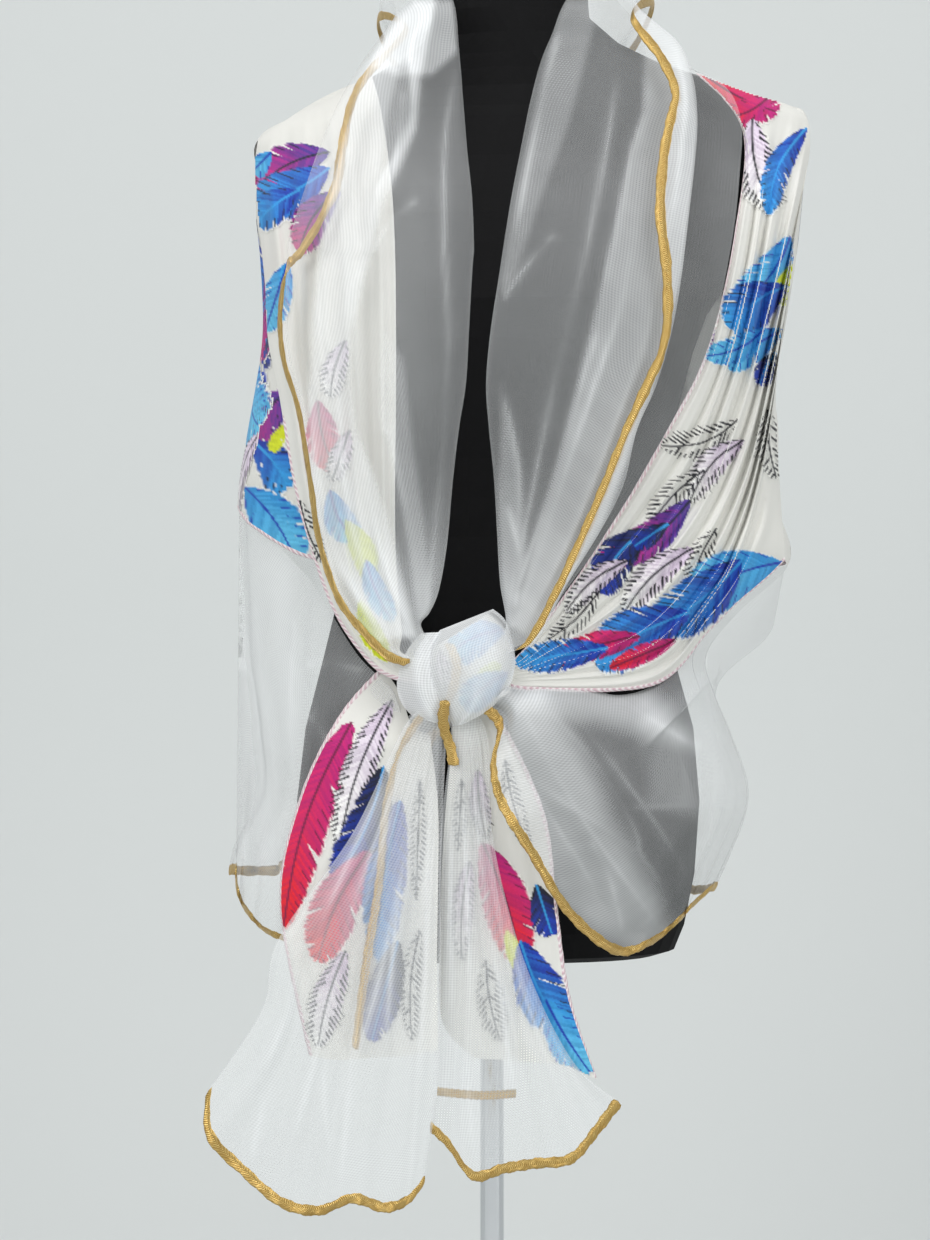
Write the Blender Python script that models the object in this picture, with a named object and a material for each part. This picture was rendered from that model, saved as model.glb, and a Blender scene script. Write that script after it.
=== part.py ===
"""A sheer scarf with gold bound organza borders, tied over a dress form on a pole.

The origin is on the floor under the pole, +Z is up and the front faces -Y.
"""
import math

import bpy
import numpy as np

# Stand and form, in metres
POLE_DIAMETER = 0.019
BASE_RADIUS = 0.180
BASE_EDGE = 0.006
BASE_RISE = 0.014
HUB_RADIUS = 0.022
HUB_HEIGHT = 0.045
FORM_BOTTOM = 0.600
FORM_SIDES = 36
# How square the sections are: the exponent of their curve, low on the body and over the shoulders
BODY_SQUARENESS = 2.3
SHOULDER_SQUARENESS = 1.6

# Cloth, in metres
CHIFFON_WALL = 0.0012
ORGANZA_WALL = 0.0010
GOLD_WALL = 0.0010
GOLD_WIDTH = 0.0075
SEAM_GAP = 0.0003
EDGE_LIFTS = {"right_collar": 0.0026, "neck_collar": 0.0017, "left_collar": 0.0026}
HEM_LIFT = 0.0022
EASE = 0.0055

# Knot, in metres
KNOT_WIDTH = 0.072
KNOT_HEIGHT = 0.090
KNOT_DEPTH = 0.066
KNOT_REST = 0.0006
BAND_LIFT = 0.0020
KNOT_PULL = 0.026
KNOT_REACH = 0.075
LAYERS_DRAWN_IN = 0.6

# How the front is read: positions in the tables called "seen" are pixels of the photograph.
# One pixel is READING metres on the upright plane through the pole.
READING = 0.0008
VIEW_DISTANCE = 2.2
VIEW_PX = (465.0, 620.0)
POLE_PX = 492.0
EYE_HEIGHT = 0.866
KNOT_PX = (468.0, 668.0)

# Sections of the form and of the cloth draped round it, in millimetres.
# Form: height, left, right, front, back
FORM_SECTIONS = [
    (600, -118, 130, -72, 84),
    (605, -134, 146, -86, 96),
    (625, -146, 154, -97, 106),
    (665, -152, 162, -104, 114),
    (722, -156, 166, -108, 118),
    (780, -149, 161, -106, 112),
    (831, -136, 147, -100, 100),
    (880, -124, 136, -92, 90),
    (930, -116, 131, -88, 85),
    (990, -120, 138, -94, 88),
    (1050, -132, 153, -110, 92),
    (1110, -148, 172, -121, 96),
    (1154, -161, 201, -110, 94),
    (1200, -175, 233, -92, 90),
    (1225, -183, 245, -80, 82),
    (1247, -184, 248, -72, 74),
    (1258, -175, 246, -68, 71),
    (1267, -157, 242, -64, 68),
    (1284, -118, 210, -59, 66),
    (1298, -95, 171, -57, 64),
    (1310, -76, 136, -56, 63),
    (1326, -56, 102, -55, 62),
    (1345, -48, 78, -54, 61),
    (1410, -45, 73, -53, 61),
    (1420, -38, 66, -46, 54),
]
# Drape: height, left, right, front, back. It lies DRAPE_REST outside the form over the shoulders.
DRAPE_REST = 0.0050
SHOULDER_FROM = 1225
DRAPE_BELOW = [
    (560, -160, 138, -108, 118),
    (600, -172, 150, -116, 126),
    (640, -202, 170, -124, 132),
    (672, -205, 186, -128, 134),
    (725, -182, 204, -128, 134),
    (776, -185, 190, -122, 128),
    (806, -189, 178, -118, 124),
    (836, -194, 171, -114, 119),
    (872, -197, 197, -113, 116),
    (908, -200, 236, -112, 114),
    (960, -202, 228, -116, 110),
    (1018, -194, 229, -124, 108),
    (1053, -188, 226, -130, 108),
    (1092, -183, 233, -134, 108),
    (1154, -185, 243, -126, 106),
    (1200, -189, 248, -106, 100),
]

# Right front chiffon, one pleat line a row, seen: x, y at each station from shoulder to knot
RIGHT_PLEATS = [
    ((695, 72), (742, 128), (736, 225), (709, 345), (664, 436), (600, 543), (525, 648)),
    ((745, 91), (757, 165), (746, 262), (718, 372), (673, 464), (605, 560), (526, 653)),
    ((788, 104), (771, 185), (754, 282), (724, 392), (681, 490), (612, 577), (527, 658)),
    ((806, 114), (784, 212), (762, 308), (733, 412), (690, 510), (619, 594), (527, 662)),
    ((810, 150), (792, 240), (770, 332), (743, 432), (700, 528), (626, 610), (528, 666)),
    ((800, 202), (787, 282), (771, 362), (747, 460), (706, 550), (634, 628), (528, 670)),
    ((792, 270), (780, 345), (765, 420), (744, 500), (709, 572), (641, 643), (528, 674)),
    ((781, 340), (773, 400), (761, 462), (742, 528), (711, 589), (646, 657), (528, 678)),
    ((776, 410), (768, 462), (756, 512), (739, 560), (711, 605), (650, 670), (527, 682)),
    ((785, 560), (770, 575), (755, 588), (736, 604), (708, 632), (652, 686), (526, 690)),
]
PLEAT_RISE = 0.007
# Extra stations close to the shoulder's ridge, where the cloth turns over it
SHOULDER_STATIONS = (0.0, 0.07, 0.17, 0.3)

# Left front chiffon, seen: outer edge x, y and inner edge x, y at each station.
# CROWN_PX is how far its top rises in the middle, over the round of the shoulder.
CROWN_PX = 7.0
LEFT_BAND = [
    (258, 140, 372, 76),
    (255, 170, 381, 110),
    (259, 225, 391, 180),
    (265, 285, 395, 250),
    (268, 340, 396, 330),
    (279, 395, 396, 410),
    (294, 485, 395, 490),
    (312, 552, 396, 560),
    (333, 610, 400, 610),
    (362, 655, 402, 634),
    (390, 678, 401, 652),
]
LEFT_PLEATS = 4

# Collar rolls, seen: seam x, y, inner fold x, y, outer fold x, y, gold edge x, y
RIGHT_ROLL = [
    (694, 72, 566, 0, 636, 4, 631, 20),
    (716, 80, 552, 34, 678, 42, 658, 60),
    (733, 100, 541, 61, 692, 75, 672, 92),
    (740, 130, 531, 98, 697, 110, 668, 114),
    (738, 170, 521, 147, 696, 150, 660, 153),
    (733, 222, 510, 205, 689, 214, 656, 212),
    (722, 285, 499, 275, 681, 280, 663, 280),
    (709, 345, 490, 335, 671, 335, 661, 342),
    (694, 385, 486, 385, 656, 386, 643, 384),
    (664, 434, 489, 430, 637, 430, 622, 432),
    (632, 490, 494, 480, 623, 486, 601, 484),
    (600, 541, 497, 533, 598, 535, 580, 533),
    (563, 592, 500, 583, 566, 586, 553, 591),
    (532, 636, 506, 624, 539, 637, 525, 642),
]
LEFT_ROLL = [
    (372, 76, 453, 0, 396, 14, 409, 30),
    (381, 108, 459, 48, 364, 60, 375, 72),
    (388, 145, 463, 97, 341, 97, 356, 104),
    (392, 190, 467, 147, 321, 143, 347, 150),
    (395, 240, 472, 196, 303, 194, 338, 195),
    (396, 290, 474, 245, 289, 240, 306, 250),
    (396, 303, 473, 261, 288, 256, 293, 264),
    (396, 316, 472, 277, 287, 270, 285, 276),
    (396, 330, 471, 294, 287, 285, 281, 288),
    (396, 365, 469, 331, 286, 322, 278, 322),
    (396, 400, 466, 383, 290, 362, 282, 362),
    (395, 440, 459, 429, 304, 414, 297, 412),
    (395, 495, 453, 480, 315, 480, 308, 480),
    (396, 550, 447, 545, 323, 538, 316, 538),
    (400, 594, 439, 590, 342, 595, 335, 598),
    (404, 618, 430, 612, 368, 628, 360, 633),
    (407, 634, 421, 625, 394, 651, 386, 659),
]
# Layers of a roll in front of the drape, in metres: first layer, second layer, gold edge
RIGHT_LAYERS = (0.008, 0.020, 0.029)
LEFT_LAYERS = (0.010, 0.026, 0.018)
FOLD_PX = 7.0
# The border laps the chiffon's edge by SEAM_LAP_PX and lies SEAM_LAP_LIFT in front of it
SEAM_LAP_PX = 2.0
SEAM_LAP_LIFT = 0.0050

# Collar round the neck: for the roll, the outer layer and the seam, each an angle in degrees
# from +X towards the back, a reach from the neck's centre and a height, in millimetres
NECK_CENTRE = (0.0135, 0.003)
NECK_ROLL = [
    (-20, 72, 1384, -2, 114, 1374, 3, 146, 1308),
    (15, 76, 1400, 30, 118, 1346, 28, 122, 1311),
    (52, 76, 1409, 60, 109, 1304, 60, 94, 1310),
    (90, 75, 1412, 90, 104, 1284, 90, 80, 1309),
    (128, 73, 1408, 120, 105, 1302, 120, 86, 1309),
    (165, 70, 1398, 150, 108, 1340, 150, 98, 1309),
    (203, 68, 1385, 178, 103, 1364, 176, 109, 1310),
]

# Lower border at the hips, seen: top x, y, hem x, y, and in mm how far its middle and its hem
# stand off the drape. Its top lies this far behind the chiffon's edge, in metres.
TUCKS = {"right_hip": 0.004, "left_hip": 0.0095}
RIGHT_HIP = [
    (527, 698, 498, 730, 34, 34),
    (548, 694, 491, 768, 36, 36),
    (582, 692, 500, 806, 37, 34),
    (616, 695, 532, 856, 36, 29),
    (648, 688, 572, 916, 32, 19),
    (672, 669, 622, 954, 27, 10),
    (696, 644, 660, 945, 21, 5),
    (722, 615, 690, 922, 14, 3),
    (748, 594, 700, 911, 7, 2),
    (785, 571, 724, 890, 2, 1),
]
LEFT_HIP = [
    (404, 716, 432, 745, 4, 2),
    (394, 692, 416, 810, 6, 2),
    (378, 676, 384, 872, 8, 2),
    (357, 654, 345, 922, 11, 2),
    (334, 618, 306, 940, 12, 3),
    (312, 582, 276, 938, 11, 3),
    (290, 558, 252, 920, 9, 2),
    (264, 532, 238, 896, 6, 2),
    (239, 512, 236, 872, 2, 1),
]

# Lower edges round the back: angle in degrees from the right side to the left, height of the
# chiffon's edge and of the organza's hem, in millimetres
BACK_EDGES = [
    (0, 914, 650),
    (30, 904, 640),
    (60, 912, 655),
    (90, 922, 640),
    (120, 932, 662),
    (150, 946, 655),
    (180, 956, 664),
    (205, 936, 664),
    (228, 912, 664),
]
BACK_FOLDS = 7
FOLD_DEPTH = 0.006

# Hanging ends, one line a row, seen: x, y at each station from knot to hem
LEFT_TAIL_CHIFFON = [
    ((399, 690), (345, 724), (299, 800), (280, 905), (309, 1056)),
    ((401, 702), (362, 772), (322, 850), (302, 930), (338, 1060)),
    ((405, 714), (380, 790), (350, 870), (335, 945), (368, 1058)),
    ((412, 726), (400, 800), (380, 880), (372, 960), (398, 1056)),
    ((425, 735), (425, 805), (415, 885), (410, 965), (428, 1054)),
]
LEFT_TAIL_INNER = [
    ((404, 737), (384, 800), (376, 880), (362, 968), (352, 1048)),
    ((414, 742), (402, 810), (395, 890), (385, 975), (378, 1060)),
    ((428, 746), (424, 815), (420, 895), (412, 980), (404, 1058)),
    ((439, 749), (438, 820), (436, 900), (434, 985), (430, 1054)),
]
LEFT_TAIL_ORGANZA = [
    ((402, 730), (352, 834), (278, 940), (262, 1010), (206, 1094)),
    ((407, 732), (362, 842), (295, 952), (274, 1040), (207, 1138)),
    ((412, 734), (374, 850), (318, 962), (290, 1062), (243, 1176)),
    ((417, 736), (385, 856), (340, 971), (312, 1080), (281, 1207)),
    ((423, 738), (396, 860), (362, 977), (338, 1090), (318, 1215)),
    ((429, 740), (408, 863), (385, 981), (365, 1095), (352, 1203)),
    ((435, 742), (420, 865), (408, 985), (395, 1095), (384, 1212)),
    ((441, 744), (432, 867), (426, 985), (420, 1090), (408, 1204)),
    ((446, 746), (441, 868), (441, 985), (438, 1081), (424, 1184)),
]
RIGHT_TAIL_CHIFFON = [
    ((462, 742), (455, 830), (449, 930), (452, 1020), (480, 1060)),
    ((474, 742), (474, 830), (475, 930), (495, 1015), (530, 1062)),
    ((486, 740), (495, 835), (505, 930), (530, 1010), (566, 1066)),
    ((497, 736), (520, 835), (535, 925), (552, 1000), (584, 1074)),
    ((507, 730), (545, 815), (557, 905), (570, 996), (597, 1079)),
]
RIGHT_TAIL_INNER = [
    ((459, 746), (452, 830), (446, 940), (441, 1030), (437, 1095)),
    ((468, 746), (470, 835), (474, 950), (478, 1040), (480, 1099)),
    ((480, 744), (490, 840), (508, 960), (518, 1045), (516, 1097)),
]
RIGHT_TAIL_ORGANZA = [
    ((456, 748), (448, 830), (444, 940), (438, 1060), (431, 1131)),
    ((460, 748), (457, 832), (458, 950), (452, 1070), (448, 1148)),
    ((464, 747), (466, 834), (472, 960), (470, 1085), (473, 1180)),
    ((468, 746), (474, 836), (486, 965), (500, 1085), (504, 1173)),
    ((473, 745), (480, 838), (500, 965), (522, 1080), (535, 1168)),
    ((478, 744), (486, 838), (510, 962), (545, 1070), (572, 1163)),
    ((483, 742), (490, 838), (518, 960), (562, 1062), (597, 1136)),
    ((488, 739), (493, 838), (524, 960), (572, 1060), (622, 1104)),
]
# How far in front of the pole each hanging layer is, in metres: where the layers lie together
# under the knot, and further down, where they hang apart. Then how deep its folds are.
TAIL_DEPTHS = {
    "left_tail_organza": (0.1436, 0.1620, 0.0022),
    "left_tail_inner_organza": (0.1418, 0.1545, 0.0012),
    "left_tail_chiffon": (0.1400, 0.1480, 0.0016),
    "right_tail_organza": (0.1436, 0.1445, 0.0014),
    "right_tail_inner_organza": (0.1418, 0.1395, 0.0008),
    "right_tail_chiffon": (0.1400, 0.1350, 0.0010),
}
# Between these two heights, from the top down, the hanging layers come apart
TAILS_PART = (0.765, 0.650)
# Bright end of a gold edge under the knot, seen. It leaves the knot and lies on the left tail.
KNOT_END = [(446, 700), (443, 716), (445, 732), (450, 746), (454, 766)]
KNOT_END_TOP = 0.1622
TAIL_CLEAR = 0.0004

# Corners of the stretch wrapped over the knot, seen: top left, top right, low right, low left
BAND_CORNERS = ((437, 633), (500, 611), (513, 680), (450, 722))
LOBE_OUTER = [(418, 634), (407, 650), (399, 668), (397, 688), (403, 702), (412, 712)]

COLOURS = {
    "form": ((0.012, 0.012, 0.013), 0.55, 0.0),
    "chrome": ((0.75, 0.76, 0.78), 0.12, 1.0),
    "steel": ((0.62, 0.63, 0.65), 0.3, 1.0),
    "chiffon": ((0.78, 0.76, 0.72), 0.6, 0.0),
    "organza": ((0.86, 0.88, 0.89), 0.45, 0.0),
    "gold": ((0.72, 0.45, 0.10), 0.35, 0.9),
}


def clear_scene():
    """Remove what the file starts with."""
    for old in list(bpy.data.objects):
        bpy.data.objects.remove(old, do_unlink=True)


def finish(name):
    """The material of one finish, made once."""
    made = bpy.data.materials.get(name)
    if made:
        return made
    colour, roughness, metallic = COLOURS[name]
    made = bpy.data.materials.new(name)
    made.use_nodes = True
    shader = made.node_tree.nodes["Principled BSDF"]
    shader.inputs["Base Color"].default_value = (*colour, 1.0)
    shader.inputs["Roughness"].default_value = roughness
    shader.inputs["Metallic"].default_value = metallic
    return made


def add_solid(name, points, faces, material):
    """One closed mesh object, its faces turned outwards."""
    points = np.asarray(points, float)
    volume = 0.0
    for face in faces:
        for second, third in zip(face[1:-1], face[2:]):
            volume += np.dot(points[face[0]], np.cross(points[second], points[third]))
    if volume < 0:
        faces = [face[::-1] for face in faces]
    mesh = bpy.data.meshes.new(name)
    mesh.from_pydata([tuple(p) for p in points], [], faces)
    mesh.update()
    mesh.shade_smooth()
    mesh.set_sharp_from_angle(angle=math.radians(50))
    mesh.materials.append(finish(material))
    made = bpy.data.objects.new(name, mesh)
    bpy.context.scene.collection.objects.link(made)
    return made


def spline(rows, at):
    """Smooth values between the rows of a table, at row positions such as 0, 0.5, 1."""
    rows = np.asarray(rows, float)
    at = np.clip(np.asarray(at, float), 0, len(rows) - 1)
    low = np.minimum(at.astype(int), len(rows) - 2)
    part = at - low
    part = part.reshape(part.shape + (1,) * (rows.ndim - 1))
    before = rows[np.maximum(low - 1, 0)]
    start, end = rows[low], rows[low + 1]
    after = rows[np.minimum(low + 2, len(rows) - 1)]
    slope_in, slope_out = (end - before) / 2, (after - start) / 2
    square, cube = part**2, part**3
    return (
        (2 * cube - 3 * square + 1) * start
        + (cube - 2 * square + part) * slope_in
        + (3 * square - 2 * cube) * end
        + (cube - square) * slope_out
    )


def fold_curve(points, at):
    """A curve through uneven guides that never swings past one: its slopes follow each chord."""
    points = np.asarray(points, float)
    heading = np.concatenate([points[1:2] - points[:1], points[2:] - points[:-2], points[-1:] - points[-2:-1]])
    heading /= np.linalg.norm(heading, axis=-1, keepdims=True)
    low = np.minimum(at.astype(int), len(points) - 2)
    part = (at - low).reshape((-1,) + (1,) * (points.ndim - 1))
    start, end = points[low], points[low + 1]
    chord = np.linalg.norm(end - start, axis=-1, keepdims=True)
    square, cube = part**2, part**3
    return (
        (2 * cube - 3 * square + 1) * start
        + (cube - 2 * square + part) * heading[low] * chord
        + (3 * square - 2 * cube) * end
        + (cube - square) * heading[low + 1] * chord
    )


def smooth_step(low, high, value):
    """0 below low, 1 above high, and an even rise between."""
    part = np.clip((np.asarray(value, float) - low) / (high - low), 0, 1)
    return part * part * (3 - 2 * part)


def sections(table, height):
    """Left, right, front and back of a table of sections at heights in metres."""
    table = np.asarray(table, float) / 1000
    heights = table[:, 0]
    slopes = np.gradient(table[:, 1:], heights, axis=0)
    height = np.clip(np.asarray(height, float), heights[0], heights[-1])
    low = np.clip(np.searchsorted(heights, height, side="right") - 1, 0, len(heights) - 2)
    step = (heights[low + 1] - heights[low])[..., None]
    part = ((height - heights[low])[..., None]) / step
    square, cube = part**2, part**3
    values = (
        (2 * cube - 3 * square + 1) * table[low, 1:]
        + (cube - 2 * square + part) * step * slopes[low]
        + (3 * square - 2 * cube) * table[low + 1, 1:]
        + (cube - square) * step * slopes[low + 1]
    )
    return np.moveaxis(values, -1, 0)


def drape_table():
    """Sections of the drape: below the shoulders its own, above them the form's, moved out."""
    rest = DRAPE_REST * 1000
    above = [
        (height, left - rest, right + rest, front - rest, back + rest)
        for height, left, right, front, back in FORM_SECTIONS
        if height >= SHOULDER_FROM
    ]
    return DRAPE_BELOW + above


DRAPE_SECTIONS = drape_table()


def squareness(height):
    """The exponent of the section curve at a height in metres."""
    share = smooth_step(1.17, 1.265, height) * (1 - smooth_step(1.32, 1.345, height))
    return BODY_SQUARENESS + (SHOULDER_SQUARENESS - BODY_SQUARENESS) * share


def ring_point(table, angle, height, proud=0.0):
    """A point of a section, at an angle in radians from +X towards the back."""
    left, right, front, back = sections(table, height)
    middle, reach = (left + right) / 2, (right - left) / 2 + proud
    cosine, sine = np.cos(angle), np.sin(angle)
    depth = np.where(sine >= 0, back + proud, proud - front)
    power = 2 / squareness(height)
    across = middle + reach * np.sign(cosine) * np.abs(cosine) ** power
    along = depth * np.sign(sine) * np.abs(sine) ** power
    return np.stack([across, along, height + 0 * across], axis=-1)


def front_of(table, x, z, proud=0.0):
    """The y of a section's front at x, for a layer that is proud of it."""
    left, right, front, _ = sections(table, z)
    share = np.clip(np.abs(x - (left + right) / 2) / ((right - left) / 2 + proud), 0, 1)
    power = squareness(z)
    return front * (1 - share**power) ** (1 / power) - proud


def seen(px, py, y):
    """The point at depth y that the view shows at a pixel."""
    scale = READING * (VIEW_DISTANCE + y) / VIEW_DISTANCE
    x = (VIEW_PX[0] - POLE_PX) * READING + (px - VIEW_PX[0]) * scale
    z = EYE_HEIGHT + (VIEW_PX[1] - py) * scale
    return np.stack([x, y + 0 * x, z], axis=-1)


def on_drape(px, py, proud):
    """The point seen at a pixel that stands proud of the drape's front, found by halving."""
    px, py, proud = (np.asarray(values, float) for values in np.broadcast_arrays(px, py, proud))
    near, far = np.full(px.shape, -0.30), np.full(px.shape, 0.01)
    for _ in range(28):
        middle = (near + far) / 2
        place = seen(px, py, middle)
        x, z = place[..., 0], place[..., 2]
        over = np.where(proud > THIN_LAYER, proud * smooth_step(*OVER_SHOULDER, z), 0.0)
        outside = middle < front_of(DRAPE_SECTIONS, x, z - over, proud)
        near = np.where(outside, middle, near)
        far = np.where(outside, far, middle)
    return seen(px, py, (near + far) / 2)


# A layer thicker than THIN_LAYER also stands up over the shoulder, between these two heights
THIN_LAYER = 0.0125
OVER_SHOULDER = (1.20, 1.28)


def pull(px, py):
    """How far the front stands off the drape near the knot, and how closely its layers lie."""
    away = np.hypot(px - KNOT_PX[0], py - KNOT_PX[1]) * READING
    near = np.exp(-((away / KNOT_REACH) ** 2))
    return EASE + KNOT_PULL * near, 1 - LAYERS_DRAWN_IN * near


def grid_normals(grid):
    """Unit normals of a grid of points, turned towards the front where they can be."""
    along = np.gradient(grid, axis=0)
    across = np.gradient(grid, axis=1)
    normals = np.cross(along, across)
    length = np.linalg.norm(normals, axis=-1, keepdims=True)
    return normals / np.maximum(length, 1e-9)


def wall(name, grid, thickness, material, lift=0.0, front_limit=None, normals=None, slant=0):
    """A closed wall of even thickness round a grid of points. lift moves it along its normals,
    and slant, 0 or 1, picks the diagonal that each four-sided face folds along."""
    normals = grid_normals(grid) if normals is None else normals
    outer = grid + normals * (lift + thickness / 2)
    inner = grid + normals * (lift - thickness / 2)
    if front_limit is not None:
        outer, inner = front_limit(outer), front_limit(inner)
    rows, columns = grid.shape[:2]
    points = np.concatenate([outer.reshape(-1, 3), inner.reshape(-1, 3)])
    far = rows * columns
    faces = []
    for row in range(rows - 1):
        for column in range(columns - 1):
            corner = row * columns + column
            ring = [corner, corner + 1, corner + columns + 1, corner + columns]
            a, b, c, d = ring[slant:] + ring[:slant]
            faces.append((a, b, c, d))
            faces.append((far + a, far + d, far + c, far + b))
    rim = [column for column in range(columns)]
    rim += [row * columns + columns - 1 for row in range(1, rows)]
    rim += [(rows - 1) * columns + column for column in range(columns - 2, -1, -1)]
    rim += [row * columns for row in range(rows - 2, 0, -1)]
    for start, end in zip(rim, rim[1:] + rim[:1]):
        faces.append((end, start, far + start, far + end))
    return add_solid(name, points, faces, material)


def along_rows(values, path, distance):
    """Values of a grid at a distance from its first column, measured along each row of path."""
    steps = np.linalg.norm(np.diff(path, axis=1), axis=-1)
    reach = np.concatenate([np.zeros((len(path), 1)), np.cumsum(steps, axis=1)], axis=1)
    found = [
        [np.interp(distance, reach[row], values[row, :, axis]) for axis in range(3)]
        for row in range(len(path))
    ]
    return np.array(found)


def binding(name, grid, normals, lift=None):
    """A gold strip on a panel, along the grid's first column, made from its points, moved out."""
    lift = ORGANZA_WALL / 2 + SEAM_GAP + GOLD_WALL / 2 if lift is None else lift
    distances = (0.0, GOLD_WIDTH / 2, GOLD_WIDTH)
    middle = np.stack([along_rows(grid, grid, distance) for distance in distances], axis=1)
    outward = np.stack([along_rows(normals, grid, distance) for distance in distances], axis=1)
    outward /= np.linalg.norm(outward, axis=-1, keepdims=True)
    wall(name, middle, GOLD_WALL, "gold", lift=lift, normals=outward)


def turned(name, profile, sides, material):
    """A solid of revolution about the pole, from radius and height pairs that start and end at 0."""
    points = [(0.0, 0.0, profile[0][1])]
    for radius, height in profile[1:-1]:
        for side in range(sides):
            turn = 2 * math.pi * side / sides
            points.append((radius * math.cos(turn), radius * math.sin(turn), height))
    points.append((0.0, 0.0, profile[-1][1]))
    rings = len(profile) - 2
    faces = []
    for side in range(sides):
        after = (side + 1) % sides
        faces.append((0, 1 + after, 1 + side))
        for ring in range(rings - 1):
            low, high = 1 + ring * sides, 1 + (ring + 1) * sides
            faces.append((low + side, low + after, high + after, high + side))
        top = 1 + (rings - 1) * sides
        faces.append((top + side, top + after, len(points) - 1))
    return add_solid(name, points, faces, material)


def make_stand():
    """The round weighted foot with its hub, and the pole that stands in it."""
    pole = POLE_DIAMETER / 2
    socket = 0.008
    foot = [
        (0, 0),
        (BASE_RADIUS - 0.003, 0),
        (BASE_RADIUS, 0.003),
        (BASE_RADIUS, BASE_EDGE),
        (BASE_RADIUS * 0.55, BASE_RISE * 0.8),
        (HUB_RADIUS + 0.004, BASE_RISE),
        (HUB_RADIUS, BASE_RISE + 0.006),
        (HUB_RADIUS, HUB_HEIGHT - 0.003),
        (HUB_RADIUS - 0.003, HUB_HEIGHT),
        (pole + SEAM_GAP, HUB_HEIGHT),
        (pole + SEAM_GAP, socket),
        (0, socket),
    ]
    turned("base", foot, 32, "steel")
    shaft = [
        (0, socket + SEAM_GAP),
        (pole, socket + SEAM_GAP),
        (pole, FORM_BOTTOM - SEAM_GAP),
        (0, FORM_BOTTOM - SEAM_GAP),
    ]
    turned("pole", shaft, 20, "chrome")


def make_form():
    """The smooth torso: rings up its height, closed flat at the waist's end and the neck's top."""
    heights = [row[0] / 1000 for row in FORM_SECTIONS]
    heights = sorted(heights + [0.960, 1.080, 1.178])
    angles = np.radians(np.arange(FORM_SIDES) * 360 / FORM_SIDES)
    rings = [ring_point(FORM_SECTIONS, angles, np.full(FORM_SIDES, height)) for height in heights]
    points = np.concatenate(rings)
    faces = [tuple(range(FORM_SIDES))[::-1]]
    for ring in range(len(heights) - 1):
        for side in range(FORM_SIDES):
            after = (side + 1) % FORM_SIDES
            low, high = ring * FORM_SIDES, (ring + 1) * FORM_SIDES
            faces.append((low + side, low + after, high + after, high + side))
    top = (len(heights) - 1) * FORM_SIDES
    faces.append(tuple(top + side for side in range(FORM_SIDES)))
    add_solid("dress_form", points, faces, "form")


def back_edge(column, degrees):
    """Height of an edge of the back in metres, by angle."""
    table = np.asarray(BACK_EDGES, float)
    at = np.interp(degrees, table[:, 0], np.arange(len(table)))
    return spline(table[:, column] / 1000, at)


def back_wave(degrees, share):
    """Soft upright folds that deepen down the back; share is 0 at the shoulders, 1 at the hem."""
    turn = np.radians(degrees) * BACK_FOLDS * 2 + 0.9 * np.sin(np.radians(degrees) * 3)
    return FOLD_DEPTH * share**1.5 * (1 + np.sin(turn))


def make_back():
    """The printed panel from the shoulders down, round both arm sides, and its organza hem."""
    shoulder = np.array([1310, 1298, 1284, 1267, 1258, 1247, 1225, 1200]) / 1000
    degrees = np.arange(0, 231, 10.0)
    heights = []
    for angle in degrees:
        low = back_edge(1, angle)
        heights.append(np.concatenate([shoulder, np.linspace(shoulder[-1], low, 8)[1:]]))
    heights = np.array(heights).T
    turn = np.broadcast_to(degrees, heights.shape).copy()
    # Over the left shoulder the panel stops at the ridge, and below it reaches round the arm,
    # where its upper part lies behind the left front
    reach = 180 + 50 * smooth_step(0, 1, (1.215 - heights) / 0.09)
    turn = np.where(turn > 170, 170 + (turn - 170) * (reach - 170) / 60, turn)
    share = 1 - smooth_step(0.93, 1.20, heights)
    side = smooth_step(0, 25, turn) * (1 - smooth_step(165, 185, turn))
    behind = 0.006 * smooth_step(180, 190, turn) * smooth_step(1.04, 1.10, heights)
    proud = back_wave(turn, share) * side - behind
    grid = ring_point(DRAPE_SECTIONS, np.radians(turn), heights, proud)
    grid[:, 0, 1] += 0.0004
    wall("back_chiffon", grid, CHIFFON_WALL, "chiffon")

    degrees = np.arange(0, 181, 7.5)
    rows = np.linspace(0, 1, 8)[:, None]
    top = np.array([back_edge(1, angle) for angle in degrees]) - 0.0008
    hem = np.array([back_edge(2, angle) for angle in degrees])
    heights = top + (hem - top) * rows
    turn = np.broadcast_to(degrees, heights.shape)
    side = smooth_step(0, 25, turn) * (1 - smooth_step(155, 180, turn))
    wave = back_wave(turn, np.ones_like(turn)) + 0.009 * rows**1.3 * (1 + np.sin(np.radians(turn) * 9))
    grid = ring_point(DRAPE_SECTIONS, np.radians(turn), heights, wave * side)
    grid[:, 0, 1] += 0.0005
    grid[:, -1, 1] += 0.0005
    wall("back_hem_organza", grid, ORGANZA_WALL, "organza")
    normals = grid_normals(grid)
    outward = np.sign(normals[4, 12, 1])
    upward, turned_normals = np.moveaxis(grid[::-1], 0, 1), np.moveaxis(normals[::-1], 0, 1)
    binding("back_hem_gold", upward, turned_normals * outward, HEM_LIFT)


def front_only(limit):
    """A rule that keeps points in front of the seam plane at the sides."""

    def keep(points):
        points = points.copy()
        points[..., 1] = np.minimum(points[..., 1], -limit)
        return points

    return keep


def facing_front(grid):
    """Turn a grid so that its normals face the front."""
    return grid if grid_normals(grid)[..., 1].mean() < 0 else grid[:, ::-1]


def to_outline(points, side, lowest, gap):
    """Move points to the nearest place on the drape's left or right outline, gap before the seam."""
    heights = np.linspace(lowest, 1.309, 240)
    outline = ring_point(DRAPE_SECTIONS, 0.0 if side == "right" else math.pi, heights)
    moved = points.copy()
    for index, point in enumerate(points):
        away = np.hypot(outline[:, 0] - point[0], outline[:, 2] - point[2])
        moved[index] = outline[np.argmin(away)]
    moved[:, 1] = -gap
    return moved


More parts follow.
